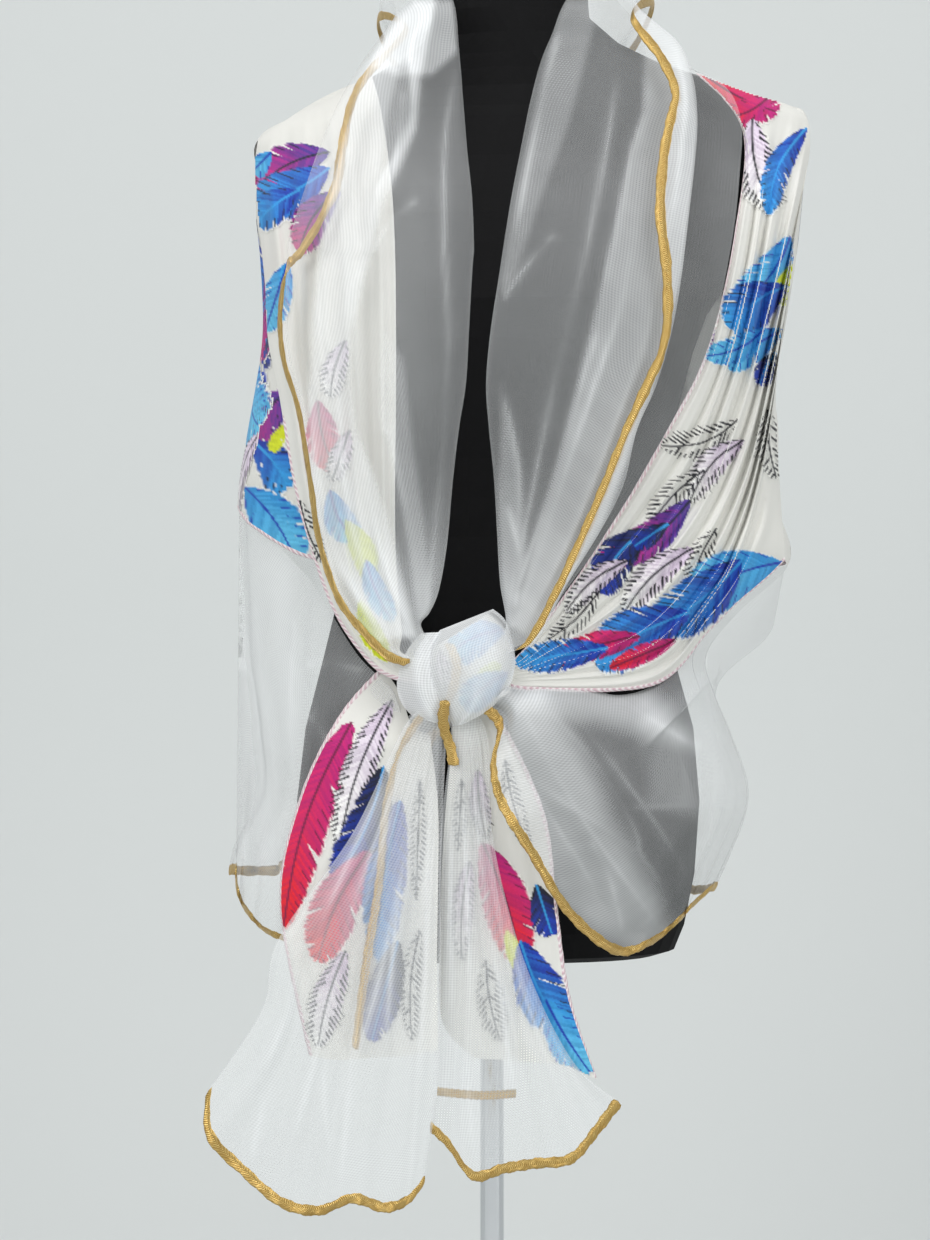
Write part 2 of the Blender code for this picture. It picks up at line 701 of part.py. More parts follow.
def make_fronts():
    """The pleated right front and the gathered left front, both drawn to the knot."""
    lines = np.array(RIGHT_PLEATS, float)
    rail_at = np.linspace(0, len(lines) - 1, 3 * (len(lines) - 1) + 1)
    rails = spline(lines, rail_at)
    stations = np.concatenate([SHOULDER_STATIONS, np.linspace(0.45, lines.shape[1] - 1, 12)])
    path = spline(np.moveaxis(rails, 1, 0), stations)
    px, py = path[..., 0], path[..., 1]
    base, _ = pull(px, py)
    spacing = np.hypot(np.gradient(px, axis=1), np.gradient(py, axis=1)) * READING * 3
    fade = smooth_step(0.0, 1.6, stations)[:, None]
    rise = np.minimum(PLEAT_RISE, spacing * 0.30) * fade
    ridge = 0.5 - 0.5 * np.cos(2 * math.pi * rail_at)
    edges = np.minimum(rail_at, rail_at[-1] - rail_at)
    ridge = ridge * np.clip(edges, 0, 1)
    grid = on_drape(px, py, base + rise * ridge)
    grid[0] = to_outline(grid[0], "right", 0.90, 0.0008)
    wall("right_front_chiffon", facing_front(grid), CHIFFON_WALL, "chiffon",
         front_limit=front_only(0.0005), slant=1)

    band = np.array(LEFT_BAND, float)
    stations = np.concatenate([SHOULDER_STATIONS, np.linspace(0.6, len(band) - 1, 13)])
    rows = spline(band, stations)
    across = np.linspace(0, 1, 3 * LEFT_PLEATS + 1)
    px = rows[:, 0:1] + (rows[:, 2:3] - rows[:, 0:1]) * across
    py = rows[:, 1:2] + (rows[:, 3:4] - rows[:, 1:2]) * across
    py = py - CROWN_PX * np.sin(math.pi * across) * (1 - smooth_step(0, 1.5, stations))[:, None]
    base, _ = pull(px, py)
    fade = smooth_step(0.0, 2.5, stations)[:, None]
    width = np.abs(rows[:, 2:3] - rows[:, 0:1]) * READING / LEFT_PLEATS
    ridge = 0.5 - 0.5 * np.cos(2 * math.pi * across * LEFT_PLEATS)
    grid = on_drape(px, py, base + np.minimum(0.005, width * 0.25) * ridge * fade)
    grid[0] = to_outline(grid[0], "left", 1.24, 0.0008)
    wall("left_front_chiffon", facing_front(grid), CHIFFON_WALL, "chiffon",
         front_limit=front_only(0.0005))


def roll_path(row, layers):
    """The eight guide points across a collar roll at one station of its table."""
    seam_x, seam_y, in_x, in_y, out_x, out_y, gold_x, gold_y = row
    first, second, edge = layers
    inward = 1.0 if seam_x > in_x else -1.0
    room = abs(seam_x - in_x)
    bend = min(FOLD_PX, room * 0.2)
    turned_over = (out_x - gold_x) * inward > 2.0
    lip_bend = min(FOLD_PX * 0.45, abs(out_x - gold_x) * 0.4)
    across = [
        (seam_x + inward * SEAM_LAP_PX, seam_y, SEAM_LAP_LIFT),
        (in_x + inward * bend, in_y, first),
        (in_x, in_y, (first + second) / 2),
        (in_x + inward * bend, in_y, second),
    ]
    if turned_over:
        across += [
            (out_x - inward * lip_bend, out_y, second),
            (out_x, out_y, (second + edge) / 2),
            (out_x - inward * lip_bend, out_y + (gold_y - out_y) * 0.4, edge),
            (gold_x, gold_y, edge),
        ]
    else:
        across += [
            (out_x - inward * 8, out_y, second),
            (out_x, out_y, second),
            (out_x + (gold_x - out_x) * 0.5, (out_y + gold_y) / 2, second + (edge - second) * 0.2),
            (gold_x, gold_y, second + (edge - second) * 0.5),
        ]
    px, py, proud = np.array(across).T
    base, closeness = pull(px, py)
    return on_drape(px, py, base + proud * closeness)


def neck_path(row):
    """The same eight guide points at one station round the neck."""
    roll_angle, roll_reach, roll_z, out_angle, out_reach, out_z, seam_angle, seam_reach, seam_z = row

    def place(angle, reach, height):
        turn = math.radians(angle)
        x = NECK_CENTRE[0] + reach / 1000 * math.cos(turn)
        y = NECK_CENTRE[1] + reach / 1000 * math.sin(turn)
        return (x, y, height / 1000)

    return np.array([
        place(seam_angle, seam_reach, seam_z),
        place(roll_angle, roll_reach - 2, roll_z - 8),
        place(roll_angle, roll_reach + 1, roll_z),
        place(roll_angle, roll_reach + 7, roll_z - 5),
        place(out_angle, out_reach - 2, out_z + 10),
        place(out_angle, out_reach, out_z),
        place(out_angle, out_reach + 1, out_z - 9),
        place(out_angle, out_reach + 2, out_z - 18),
    ])


# The side of each roll that its gold edge lies on: the outside of the lip's fold
ROLL_SIDES = {"right_collar": 1, "neck_collar": -1, "left_collar": -1}
# Where the left lip turns out from under the roll, in rows of LEFT_ROLL, how far along that
# reaches, and how much further its gold edge stands off there
LEFT_TURN = 6.5
TURN_REACH = 1.6
TURN_LIFT = 0.0046
# How many rows at each end of a roll its gold edge leaves free, where the lip turns
GOLD_ROWS = {"right_collar": (0, 1), "neck_collar": (2, 2), "left_collar": (1, 0)}
ROLL_COLUMNS = np.array([0, 0.33, 0.66, 1, 1.5, 2, 2.5, 3, 3.25, 3.5, 3.75, 4, 4.5, 5, 5.5, 6, 7])


def make_collar():
    """The upper border, rolled outwards from the knot round the neck and back to the knot."""
    right = [roll_path(row, RIGHT_LAYERS) for row in RIGHT_ROLL[::-1]]
    neck = [neck_path(row) for row in NECK_ROLL]
    left = [roll_path(row, LEFT_LAYERS) for row in LEFT_ROLL]
    guides = np.array(right + neck + left)
    first, second = len(right) - 0.5, len(right) + len(neck) - 0.5
    cut = 0.008
    stretches = [
        ("right_collar", np.linspace(0, first - cut, 17)),
        ("neck_collar", np.linspace(first + cut, second - cut, 13)),
        ("left_collar", np.linspace(second + cut, len(guides) - 1, 19)),
    ]
    stations = np.concatenate([at for _, at in stretches])
    whole = np.moveaxis(fold_curve(np.moveaxis(spline(guides, stations), 1, 0), ROLL_COLUMNS), 0, 1)
    whole_normals = grid_normals(whole)
    for row in (len(stretches[0][1]), len(stretches[0][1]) + len(stretches[1][1])):
        shared = whole_normals[row - 1] + whole_normals[row]
        shared /= np.linalg.norm(shared, axis=-1, keepdims=True)
        whole_normals[row - 1:row + 1] = shared
    start = 0
    for name, at in stretches:
        grid = whole[start:start + len(at)]
        normals = whole_normals[start:start + len(at)]
        start += len(at)
        wall(name, grid, ORGANZA_WALL, "organza", normals=normals)
        side = ROLL_SIDES[name]
        first_row, last_row = GOLD_ROWS[name]
        rows = slice(first_row, len(at) - last_row)
        away = (at[rows] - (len(right) + len(neck) + LEFT_TURN)) / TURN_REACH
        lift = EDGE_LIFTS[name] + TURN_LIFT * np.exp(-away**2)[:, None, None]
        binding(name + "_gold", grid[rows, ::-1], normals[rows, ::-1] * side, lift)


# Where the right hip's columns start to be drawn in and are fully so, as shares of its height
DRAWN_IN = (0.16, 0.42)


def drawn_in(px, py):
    """Bring a hip's columns in where its last one would hang past the drape's right outline."""
    height = seen(px[:, -1], py[:, -1], 0.0)[:, 2]
    edge = POLE_PX + sections(DRAPE_SECTIONS, height)[1] / READING
    share = np.clip((edge - px[:, 0]) / (px[:, -1] - px[:, 0]), 0, 1)
    share = 1 - (1 - share) * smooth_step(*DRAWN_IN, np.linspace(0, 1, len(share)))
    return px[:, :1] + (px - px[:, :1]) * share[:, None]


def make_hips():
    """The lower border at both hips, from the chiffon's edge down to its gold hem."""
    for name, table in (("right_hip", RIGHT_HIP), ("left_hip", LEFT_HIP)):
        rows = np.array(table, float)
        at = np.append(np.arange(0, len(rows) - 1.5, 0.5), len(rows) - 1)
        lines = spline(rows, at)
        down = np.linspace(0, 1, 9)[:, None]
        px = lines[:, 0] + (lines[:, 2] - lines[:, 0]) * down
        py = lines[:, 1] + (lines[:, 3] - lines[:, 1]) * down
        px = drawn_in(px, py) if name == "right_hip" else px
        belly = lines[:, 4] / 1000 * np.sin(math.pi * down) ** 0.8
        hem = lines[:, 5] / 1000 * smooth_step(0, 0.9, down)
        top = (pull(px, py)[0] - TUCKS[name]) * (1 - smooth_step(0, 0.8, down))
        grid = on_drape(px, py, top + np.maximum(belly, hem))
        grid[:, -1] = to_outline(grid[:, -1], name.split("_")[0], 0.60, 0.0006)
        grid = facing_front(grid)
        normals = grid_normals(grid)
        wall(name + "_organza", grid, ORGANZA_WALL, "organza", front_limit=front_only(0.00043))
        inner = slice(0, -1) if grid[0, 0, 1] < grid[0, -1, 1] else slice(1, None)
        edge, outward = grid[::-1, inner], normals[::-1, inner]
        binding(name + "_gold", np.moveaxis(edge, 0, 1), np.moveaxis(outward, 0, 1), HEM_LIFT)


def knot_centre():
    """Where the knot's middle is: its back rests just off the form's front."""
    y = -0.13
    for _ in range(4):
        x, _, z = seen(KNOT_PX[0], KNOT_PX[1], np.array(y))
        y = float(front_of(FORM_SECTIONS, x, z)) - KNOT_REST - KNOT_DEPTH / 2
    return np.array([float(x), y, float(z)])


def on_knot(px, py, lift):
    """The point of the knot's front seen at a pixel, moved out by lift."""
    centre = knot_centre()
    reach = np.array([KNOT_WIDTH, KNOT_DEPTH, KNOT_HEIGHT]) / 2 + lift
    y = np.full(np.shape(px), centre[1] - reach[1])
    for _ in range(6):
        place = seen(px, py, y)
        share = ((place[..., 0] - centre[0]) / reach[0]) ** 2 + ((place[..., 2] - centre[2]) / reach[2]) ** 2
        y = centre[1] - reach[1] * np.sqrt(np.maximum(1 - share, 0.0))
    return seen(px, py, y)


def make_knot():
    """The hidden layers as one rounded solid, the stretch over it, and the fold beside it."""
    centre = knot_centre()
    reach = np.array([KNOT_WIDTH, KNOT_DEPTH, KNOT_HEIGHT]) / 2
    bands, sides = 9, 18
    points = [centre + reach * (0, 0, -1)]
    for band in range(1, bands):
        rise = math.pi * band / bands - math.pi / 2
        for side in range(sides):
            turn = 2 * math.pi * side / sides
            offset = (math.cos(rise) * math.cos(turn), math.cos(rise) * math.sin(turn), math.sin(rise))
            points.append(centre + reach * offset)
    points.append(centre + reach * (0, 0, 1))
    faces = []
    for side in range(sides):
        after = (side + 1) % sides
        faces.append((0, 1 + after, 1 + side))
        for band in range(bands - 2):
            low, high = 1 + band * sides, 1 + (band + 1) * sides
            faces.append((low + side, low + after, high + after, high + side))
        top = 1 + (bands - 2) * sides
        faces.append((top + side, top + after, len(points) - 1))
    add_solid("knot_core", points, faces, "chiffon")

    corners = np.array(BAND_CORNERS, float)
    across = np.linspace(0, 1, 10)[None, :, None]
    down = np.linspace(0, 1, 11)[:, None, None]
    place = (corners[0] * (1 - across) + corners[1] * across) * (1 - down)
    place = place + (corners[3] * (1 - across) + corners[2] * across) * down
    grid = on_knot(place[..., 0], place[..., 1], BAND_LIFT)
    wall("knot_band", facing_front(grid), ORGANZA_WALL, "organza")

    outer = np.array(LOBE_OUTER, float)
    stations = np.linspace(0, len(outer) - 1, 9)
    rim = spline(outer, stations)
    left = corners[0] + (corners[3] - corners[0]) * np.linspace(0.02, 0.88, 9)[:, None]
    left = left - (1.6, 0)
    share = np.linspace(0, 1, 7)[None, :, None]
    place = left[:, None] * (1 - share) + rim[:, None] * share
    start = on_knot(left[:, 0], left[:, 1], BAND_LIFT)[:, 1][:, None]
    arch = share[..., 0]
    y = start * (1 - arch) + (centre[1] + 0.002) * arch - 0.012 * np.sin(math.pi * arch)
    wall("knot_lobe", facing_front(seen(place[..., 0], place[..., 1], y)), ORGANZA_WALL, "organza")


def tail_y(name, z):
    """The y of a hanging layer at a height, before its folds."""
    together, apart, _ = TAIL_DEPTHS[name]
    share = 1 - smooth_step(TAILS_PART[1], TAILS_PART[0], z)
    return -(together + (apart - together) * share)


def under_knot(row):
    """Raise the points of a top row that lie below the knot until they almost touch it."""
    centre = knot_centre()
    reach = np.array([KNOT_WIDTH, KNOT_DEPTH, KNOT_HEIGHT]) / 2
    inside = 1 - (((row[:, :2] - centre[:2]) / reach[:2]) ** 2).sum(axis=1)
    underside = centre[2] - reach[2] * np.sqrt(np.maximum(inside, 0)) - KNOT_REST
    raised = row.copy()
    raised[:, 2] = np.where(inside > 0.15, np.maximum(row[:, 2], underside), row[:, 2])
    return raised


def make_tails():
    """The two hanging ends: a printed layer and two organza layers each, and their gold hems."""
    tails = [
        ("left_tail_chiffon", LEFT_TAIL_CHIFFON, "chiffon", 2, 11),
        ("left_tail_inner_organza", LEFT_TAIL_INNER, "organza", 2, 10),
        ("left_tail_organza", LEFT_TAIL_ORGANZA, "organza", 2, 11),
        ("right_tail_chiffon", RIGHT_TAIL_CHIFFON, "chiffon", 2, 11),
        ("right_tail_inner_organza", RIGHT_TAIL_INNER, "organza", 2, 10),
        ("right_tail_organza", RIGHT_TAIL_ORGANZA, "organza", 2, 11),
    ]
    for name, lines, material, steps, stations in tails:
        lines = np.array(lines, float)
        rail_at = np.linspace(0, len(lines) - 1, steps * (len(lines) - 1) + 1)
        path = spline(np.moveaxis(spline(lines, rail_at), 1, 0), np.linspace(0, lines.shape[1] - 1, stations))
        down = np.linspace(0, 1, stations)[:, None]
        wave = TAIL_DEPTHS[name][2] * np.cos(math.pi * rail_at)[None, :] * smooth_step(0.05, 0.5, down)
        level = seen(path[..., 0], path[..., 1], -TAIL_DEPTHS[name][0])[..., 2]
        grid = seen(path[..., 0], path[..., 1], tail_y(name, level) + wave)
        grid[0] = under_knot(grid[0])
        grid = facing_front(grid)
        thickness = CHIFFON_WALL if material == "chiffon" else ORGANZA_WALL
        wall(name, grid, thickness, material)
        if name.endswith("_tail_organza"):
            bottom, outward = np.moveaxis(grid[::-1], 0, 1), np.moveaxis(grid_normals(grid)[::-1], 0, 1)
            binding(name.replace("_organza", "_gold"), bottom, outward)

    ends = np.array(KNOT_END, float)
    path = spline(ends, np.linspace(0, len(ends) - 1, 9))
    across = np.linspace(-0.5, 0.5, 3) * GOLD_WIDTH / READING
    px = path[:, :1] + across
    py = path[:, 1:] + 0 * across
    level = seen(px, py, -KNOT_END_TOP)[..., 2]
    on_tail = tail_y("left_tail_organza", level) - ORGANZA_WALL - SEAM_GAP - TAIL_CLEAR
    leaving = smooth_step(KNOT_END[0][1], KNOT_END[-2][1], py)
    wall("knot_gold", seen(px, py, -KNOT_END_TOP * (1 - leaving) + on_tail * leaving), GOLD_WALL, "gold")


def main():
    clear_scene()
    make_stand()
    make_form()
    make_back()
    make_fronts()
    make_collar()
    make_hips()
    make_knot()
    make_tails()


main()
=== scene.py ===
# %% [markdown]
# # A sheer scarf, tied over a dress form
#
# The real thing is one wide evening scarf: a printed chiffon middle, a white organza border on
# every side and a gold ribbon bound round the edge. It lies over a black dress form, its two
# fronts are drawn into one knot, and the ends hang below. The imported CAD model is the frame,
# and each stretch of cloth is laid again here as a thin, finely creased sheet on the same form.

# %% Load the frame
import math

import bpy
import numpy as np
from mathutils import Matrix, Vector
from mathutils.bvhtree import BVHTree


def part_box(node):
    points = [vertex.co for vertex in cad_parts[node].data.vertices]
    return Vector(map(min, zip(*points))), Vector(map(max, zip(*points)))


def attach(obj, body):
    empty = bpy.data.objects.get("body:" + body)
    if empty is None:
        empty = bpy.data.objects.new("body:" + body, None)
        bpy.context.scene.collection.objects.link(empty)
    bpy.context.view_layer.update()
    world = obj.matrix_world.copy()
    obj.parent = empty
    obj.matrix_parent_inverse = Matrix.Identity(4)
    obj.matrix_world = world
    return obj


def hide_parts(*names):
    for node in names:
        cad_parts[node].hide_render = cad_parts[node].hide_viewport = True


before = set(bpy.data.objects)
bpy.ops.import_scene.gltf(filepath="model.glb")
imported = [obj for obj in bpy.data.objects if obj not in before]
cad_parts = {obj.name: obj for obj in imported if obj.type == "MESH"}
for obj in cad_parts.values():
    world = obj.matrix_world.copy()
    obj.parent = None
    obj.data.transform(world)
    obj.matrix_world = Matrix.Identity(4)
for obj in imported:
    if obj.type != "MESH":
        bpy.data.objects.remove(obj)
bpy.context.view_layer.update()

# %% [markdown]
# ## Where the photograph was taken from
#
# The camera stands 2.2 m in front of the pole, level, at knot height. One pixel of the
# photograph is 0.8 mm on the upright plane through the pole, so a place in the picture can be
# named in pixels and turned into metres. That keeps the drapery tables short and readable.

# %% The camera and its pixels
READING = 0.0008
VIEW_DISTANCE = 2.2
VIEW_PX = (465.0, 620.0)
POLE_PX = 492.0
EYE_HEIGHT = 0.866
EYE_X = (VIEW_PX[0] - POLE_PX) * READING
PICTURE_HEIGHT = 1240
SENSOR = 36.0

camera_data = bpy.data.cameras.new("viewing_camera")
camera_data.sensor_width = SENSOR
camera_data.lens = SENSOR * VIEW_DISTANCE / (PICTURE_HEIGHT * READING)
camera = bpy.data.objects.new("viewing_camera", camera_data)
camera.location = (EYE_X, -VIEW_DISTANCE, EYE_HEIGHT)
camera.rotation_euler = (math.radians(90), 0, 0)
bpy.context.scene.collection.objects.link(camera)
bpy.context.scene.camera = camera


def seen(px, py, y):
    """The point at depth y that the picture shows at a pixel."""
    scale = READING * (VIEW_DISTANCE + y) / VIEW_DISTANCE
    x = EYE_X + (px - VIEW_PX[0]) * scale
    z = EYE_HEIGHT + (VIEW_PX[1] - py) * scale
    return np.stack([x, y + 0 * x, z], axis=-1)


print("lens", round(camera_data.lens, 1), "mm")

# %% [markdown]
# ## The body under the cloth
#
# Cloth takes the shape of what it lies on. The form and the drape over it are both tables of
# level sections: how far the cloth reaches left, right, forward and back at each height. A
# smooth curve joins the rows, so any point of the drape can be worked out.

# %% Sections of the form and the drape, in millimetres
BODY_SQUARENESS = 2.3
SHOULDER_SQUARENESS = 1.6
# Form: height, left, right, front, back
FORM_SHOULDERS = [
    (1225, -183, 245, -80, 82), (1247, -184, 248, -72, 74), (1258, -175, 246, -68, 71),
    (1267, -157, 242, -64, 68), (1284, -118, 210, -59, 66), (1298, -95, 171, -57, 64),
    (1310, -76, 136, -56, 63), (1326, -56, 102, -55, 62), (1345, -48, 78, -54, 61),
    (1410, -45, 73, -53, 61), (1420, -38, 66, -46, 54),
]
DRAPE_REST = 5.0
# Drape: height, left, right, front, back
DRAPE_BELOW = [
    (560, -160, 138, -108, 118), (600, -172, 150, -116, 126), (640, -202, 170, -124, 132),
    (672, -205, 186, -128, 134), (725, -182, 204, -128, 134), (776, -185, 190, -122, 128),
    (806, -189, 178, -118, 124), (836, -194, 171, -114, 119), (872, -197, 197, -113, 116),
    (908, -200, 236, -112, 114), (960, -202, 228, -116, 110), (1018, -194, 229, -124, 108),
    (1053, -188, 226, -130, 108), (1092, -183, 233, -134, 108),
    (1154, -185, 243, -126, 106), (1200, -189, 248, -106, 100),
]
DRAPE_SECTIONS = DRAPE_BELOW + [
    (height, left - DRAPE_REST, right + DRAPE_REST, front - DRAPE_REST, back + DRAPE_REST)
    for height, left, right, front, back in FORM_SHOULDERS
]
print("rows of the drape:", len(DRAPE_SECTIONS))


# %% Curves through tables
def smooth_step(low, high, value):
    """0 below low, 1 above high, and an even rise between."""
    part = np.clip((np.asarray(value, float) - low) / (high - low), 0, 1)
    return part * part * (3 - 2 * part)


def spline(rows, at):
    """Smooth values between the rows of a table, at row positions such as 0, 0.5, 1."""
    rows = np.asarray(rows, float)
    at = np.clip(np.asarray(at, float), 0, len(rows) - 1)
    low = np.minimum(at.astype(int), len(rows) - 2)
    part = at - low
    part = part.reshape(part.shape + (1,) * (rows.ndim - 1))
    before = rows[np.maximum(low - 1, 0)]
    start, end = rows[low], rows[low + 1]
    after = rows[np.minimum(low + 2, len(rows) - 1)]
    slope_in, slope_out = (end - before) / 2, (after - start) / 2
    square, cube = part**2, part**3
    return (
        (2 * cube - 3 * square + 1) * start
        + (cube - 2 * square + part) * slope_in
        + (3 * square - 2 * cube) * end
        + (cube - square) * slope_out
    )


def fold_curve(points, at):
    """A curve through uneven guides that never swings past one: its slopes follow each chord."""
    points = np.asarray(points, float)
    first, between, last = points[1:2] - points[:1], points[2:] - points[:-2], points[-1:] - points[-2:-1]
    heading = np.concatenate([first, between, last])
    heading /= np.linalg.norm(heading, axis=-1, keepdims=True)
    low = np.minimum(at.astype(int), len(points) - 2)
    part = (at - low).reshape((-1,) + (1,) * (points.ndim - 1))
    start, end = points[low], points[low + 1]
    chord = np.linalg.norm(end - start, axis=-1, keepdims=True)
    square, cube = part**2, part**3
    return (
        (2 * cube - 3 * square + 1) * start
        + (cube - 2 * square + part) * heading[low] * chord
        + (3 * square - 2 * cube) * end
        + (cube - square) * heading[low + 1] * chord
    )


print("a curve through 0, 1 and 4, half a row along:", spline([0, 1, 4], [0.5]).round(3).tolist())


# %% Level sections of the drape
# The heights, in metres, between which the section turns from the body's to the shoulders' and back
TO_SHOULDERS, PAST_SHOULDERS = (1.17, 1.265), (1.32, 1.345)


def sections(height):
    """Left, right, front and back of the drape at heights in metres."""
    table = np.asarray(DRAPE_SECTIONS, float) / 1000
    heights = table[:, 0]
    slopes = np.gradient(table[:, 1:], heights, axis=0)
    height = np.clip(np.asarray(height, float), heights[0], heights[-1])
    low = np.clip(np.searchsorted(heights, height, side="right") - 1, 0, len(heights) - 2)
    step = (heights[low + 1] - heights[low])[..., None]
    part = ((height - heights[low])[..., None]) / step
    square, cube = part**2, part**3
    values = (
        (2 * cube - 3 * square + 1) * table[low, 1:]
        + (cube - 2 * square + part) * step * slopes[low]
        + (3 * square - 2 * cube) * table[low + 1, 1:]
        + (cube - square) * step * slopes[low + 1]
    )
    return np.moveaxis(values, -1, 0)


def squareness(height):
    """The exponent of the section curve at a height in metres."""
    share = smooth_step(*TO_SHOULDERS, height) * (1 - smooth_step(*PAST_SHOULDERS, height))
    return BODY_SQUARENESS + (SHOULDER_SQUARENESS - BODY_SQUARENESS) * share


def ring_point(angle, height, proud=0.0):
    """A point of the drape, at an angle in radians from +X towards the back."""
    left, right, front, back = sections(height)
    middle, reach = (left + right) / 2, (right - left) / 2 + proud
    cosine, sine = np.cos(angle), np.sin(angle)
    depth = np.where(sine >= 0, back + proud, proud - front)
    power = 2 / squareness(height)
    across = middle + reach * np.sign(cosine) * np.abs(cosine) ** power
    along = depth * np.sign(sine) * np.abs(sine) ** power
    return np.stack([across, along, height + 0 * across], axis=-1)


print("left, right, front and back at the knot's height:", sections(EYE_HEIGHT).round(4).tolist())

# %% Places on the drape's front
# A layer thicker than THIN_LAYER also stands up over the shoulder, between these two heights
THIN_LAYER = 0.0125
OVER_SHOULDER = (1.20, 1.28)
KNOT_PX = (468.0, 668.0)
EASE = 0.0055
KNOT_PULL = 0.026
KNOT_REACH = 0.075
LAYERS_DRAWN_IN = 0.6
DEPTH_RANGE, HALVINGS = (-0.30, 0.01), 28
OUTLINE_TOP, OUTLINE_POINTS = 1.309, 240


def front_of(x, z, proud):
    """The y of the drape's front at x, for a layer that is proud of it."""
    left, right, front, _ = sections(z)
    share = np.clip(np.abs(x - (left + right) / 2) / ((right - left) / 2 + proud), 0, 1)
    power = squareness(z)
    return front * (1 - share**power) ** (1 / power) - proud


def on_drape(px, py, proud):
    """The point seen at a pixel that stands proud of the drape's front, found by halving."""
    px, py, proud = (np.asarray(values, float) for values in np.broadcast_arrays(px, py, proud))
    near, far = (np.full(px.shape, depth) for depth in DEPTH_RANGE)
    for _ in range(HALVINGS):
        middle = (near + far) / 2
        place = seen(px, py, middle)
        x, z = place[..., 0], place[..., 2]
        over = np.where(proud > THIN_LAYER, proud * smooth_step(*OVER_SHOULDER, z), 0.0)
        outside = middle < front_of(x, z - over, proud)
        near = np.where(outside, middle, near)
        far = np.where(outside, far, middle)
    return seen(px, py, (near + far) / 2)


def pull(px, py):
    """How far the front stands off the drape near the knot, and how closely its layers lie."""
    away = np.hypot(px - KNOT_PX[0], py - KNOT_PX[1]) * READING
    near = np.exp(-((away / KNOT_REACH) ** 2))
    return EASE + KNOT_PULL * near, 1 - LAYERS_DRAWN_IN * near


def to_outline(points, side, lowest):
    """Move points to the nearest place on the drape's left or right outline."""
    heights = np.linspace(lowest, OUTLINE_TOP, OUTLINE_POINTS)
    outline = ring_point(0.0 if side == "right" else math.pi, heights)
    moved = points.copy()
    for index, point in enumerate(points):
        away = np.hypot(outline[:, 0] - point[0], outline[:, 2] - point[2])
        moved[index] = outline[np.argmin(away)]
    return moved


print("on the drape beside the knot, metres:", on_drape(560, 668, EASE).round(4).tolist())

# %% [markdown]
# ## Laying a sheet
#
# A grid of points is the simplest cloth there is: rows run one way, columns the other, and four
# neighbours make a face. Real organza also has creases, where the stiff yarns were folded, and
# places where it lies over itself. Each crease is a short line in a table and each such place a
# rough outline. Points near a crease are lifted into a soft ridge. The cover, the share of light
# that the weave stops, goes up where the cloth lies over itself; along a crease it goes up partly
# for the crease itself and partly as a painted highlight, the thin bright line of light on a fold.

# %% Normals and picture places of a grid
def unit(vectors):
    """Vectors scaled to length 1."""
    return vectors / np.maximum(np.linalg.norm(vectors, axis=-1, keepdims=True), 1e-9)


def grid_normals(grid):
    """Unit normals of a grid, facing the front where most of them do."""
    normals = unit(np.cross(np.gradient(grid, axis=0), np.gradient(grid, axis=1)))
    return -normals if np.median(normals[..., 1]) > 0 else normals


def picture_place(grid):
    """The pixel at which each point of a grid is seen."""
    scale = READING * (VIEW_DISTANCE + grid[..., 1]) / VIEW_DISTANCE
    px = (grid[..., 0] - EYE_X) / scale + VIEW_PX[0]
    py = VIEW_PX[1] - (grid[..., 2] - EYE_HEIGHT) / scale
    return px, py


print("the camera's own place is seen at:", picture_place(np.array([[EYE_X, 0.0, EYE_HEIGHT]])))


# %% Creases and layers
# Crease lines fade in and out over this share of their way, and vary by CREASE_PULSE along it
CREASE_FADE = 0.15
CREASE_STEADY, CREASE_PULSE = 0.6, 0.4


def from_stretch(px, py, start, end):
    """How far places are from a straight stretch, and how far along it each one lies."""
    (ax, ay), (bx, by) = start, end
    length = max((bx - ax) ** 2 + (by - ay) ** 2, 1e-6)
    part = np.clip(((px - ax) * (bx - ax) + (py - ay) * (by - ay)) / length, 0, 1)
    return np.hypot(px - ax - part * (bx - ax), py - ay - part * (by - ay)), part


def creases(px, py, lines, width):
    """How close each place is to a table of crease lines, which fade in and out along their way."""
    total = np.zeros(px.shape)
    for order, line in enumerate(lines):
        line = spline(line, np.linspace(0, len(line) - 1, 3 * len(line)))
        nearest, along = np.full(px.shape, 1e9), np.zeros(px.shape)
        for step, (start, end) in enumerate(zip(line[:-1], line[1:])):
            away, part = from_stretch(px, py, start, end)
            along = np.where(away < nearest, (step + part) / (len(line) - 1), along)
            nearest = np.minimum(nearest, away)
        fade = smooth_step(0, CREASE_FADE, along) * (1 - smooth_step(1 - CREASE_FADE, 1, along))
        fade = fade * (CREASE_STEADY + CREASE_PULSE * np.sin(along * 9 + order * 1.9))
        total = np.maximum(total, fade * np.exp(-((nearest / width) ** 2)))
    return total


def layers(px, py, table, soft):
    """Extra cover where folds lie over each other: each row is a gain and a closed outline."""
    total = np.zeros(px.shape)
    for gain, corners in table:
        corners = np.asarray(corners, float)
        nearest, inside = np.full(px.shape, 1e9), np.zeros(px.shape, bool)
        for start, end in zip(corners, np.roll(corners, -1, axis=0)):
            nearest = np.minimum(nearest, from_stretch(px, py, start, end)[0])
            rise = end[1] - start[1]
            level = (py - start[1]) / (rise if rise else 1e-9)
            crosses = (start[1] > py) != (end[1] > py)
            inside ^= crosses & (px < start[0] + level * (end[0] - start[0]))
        total = total + gain * smooth_step(-soft, soft, np.where(inside, nearest, -nearest))
    return total


on_line = creases(np.array([5.0]), np.array([0.0]), [((0, 0), (10, 0))], 2.0)
print("strength in the middle of a crease:", on_line.round(3).tolist())

# %% A sheet from a grid
SHEETS = {}


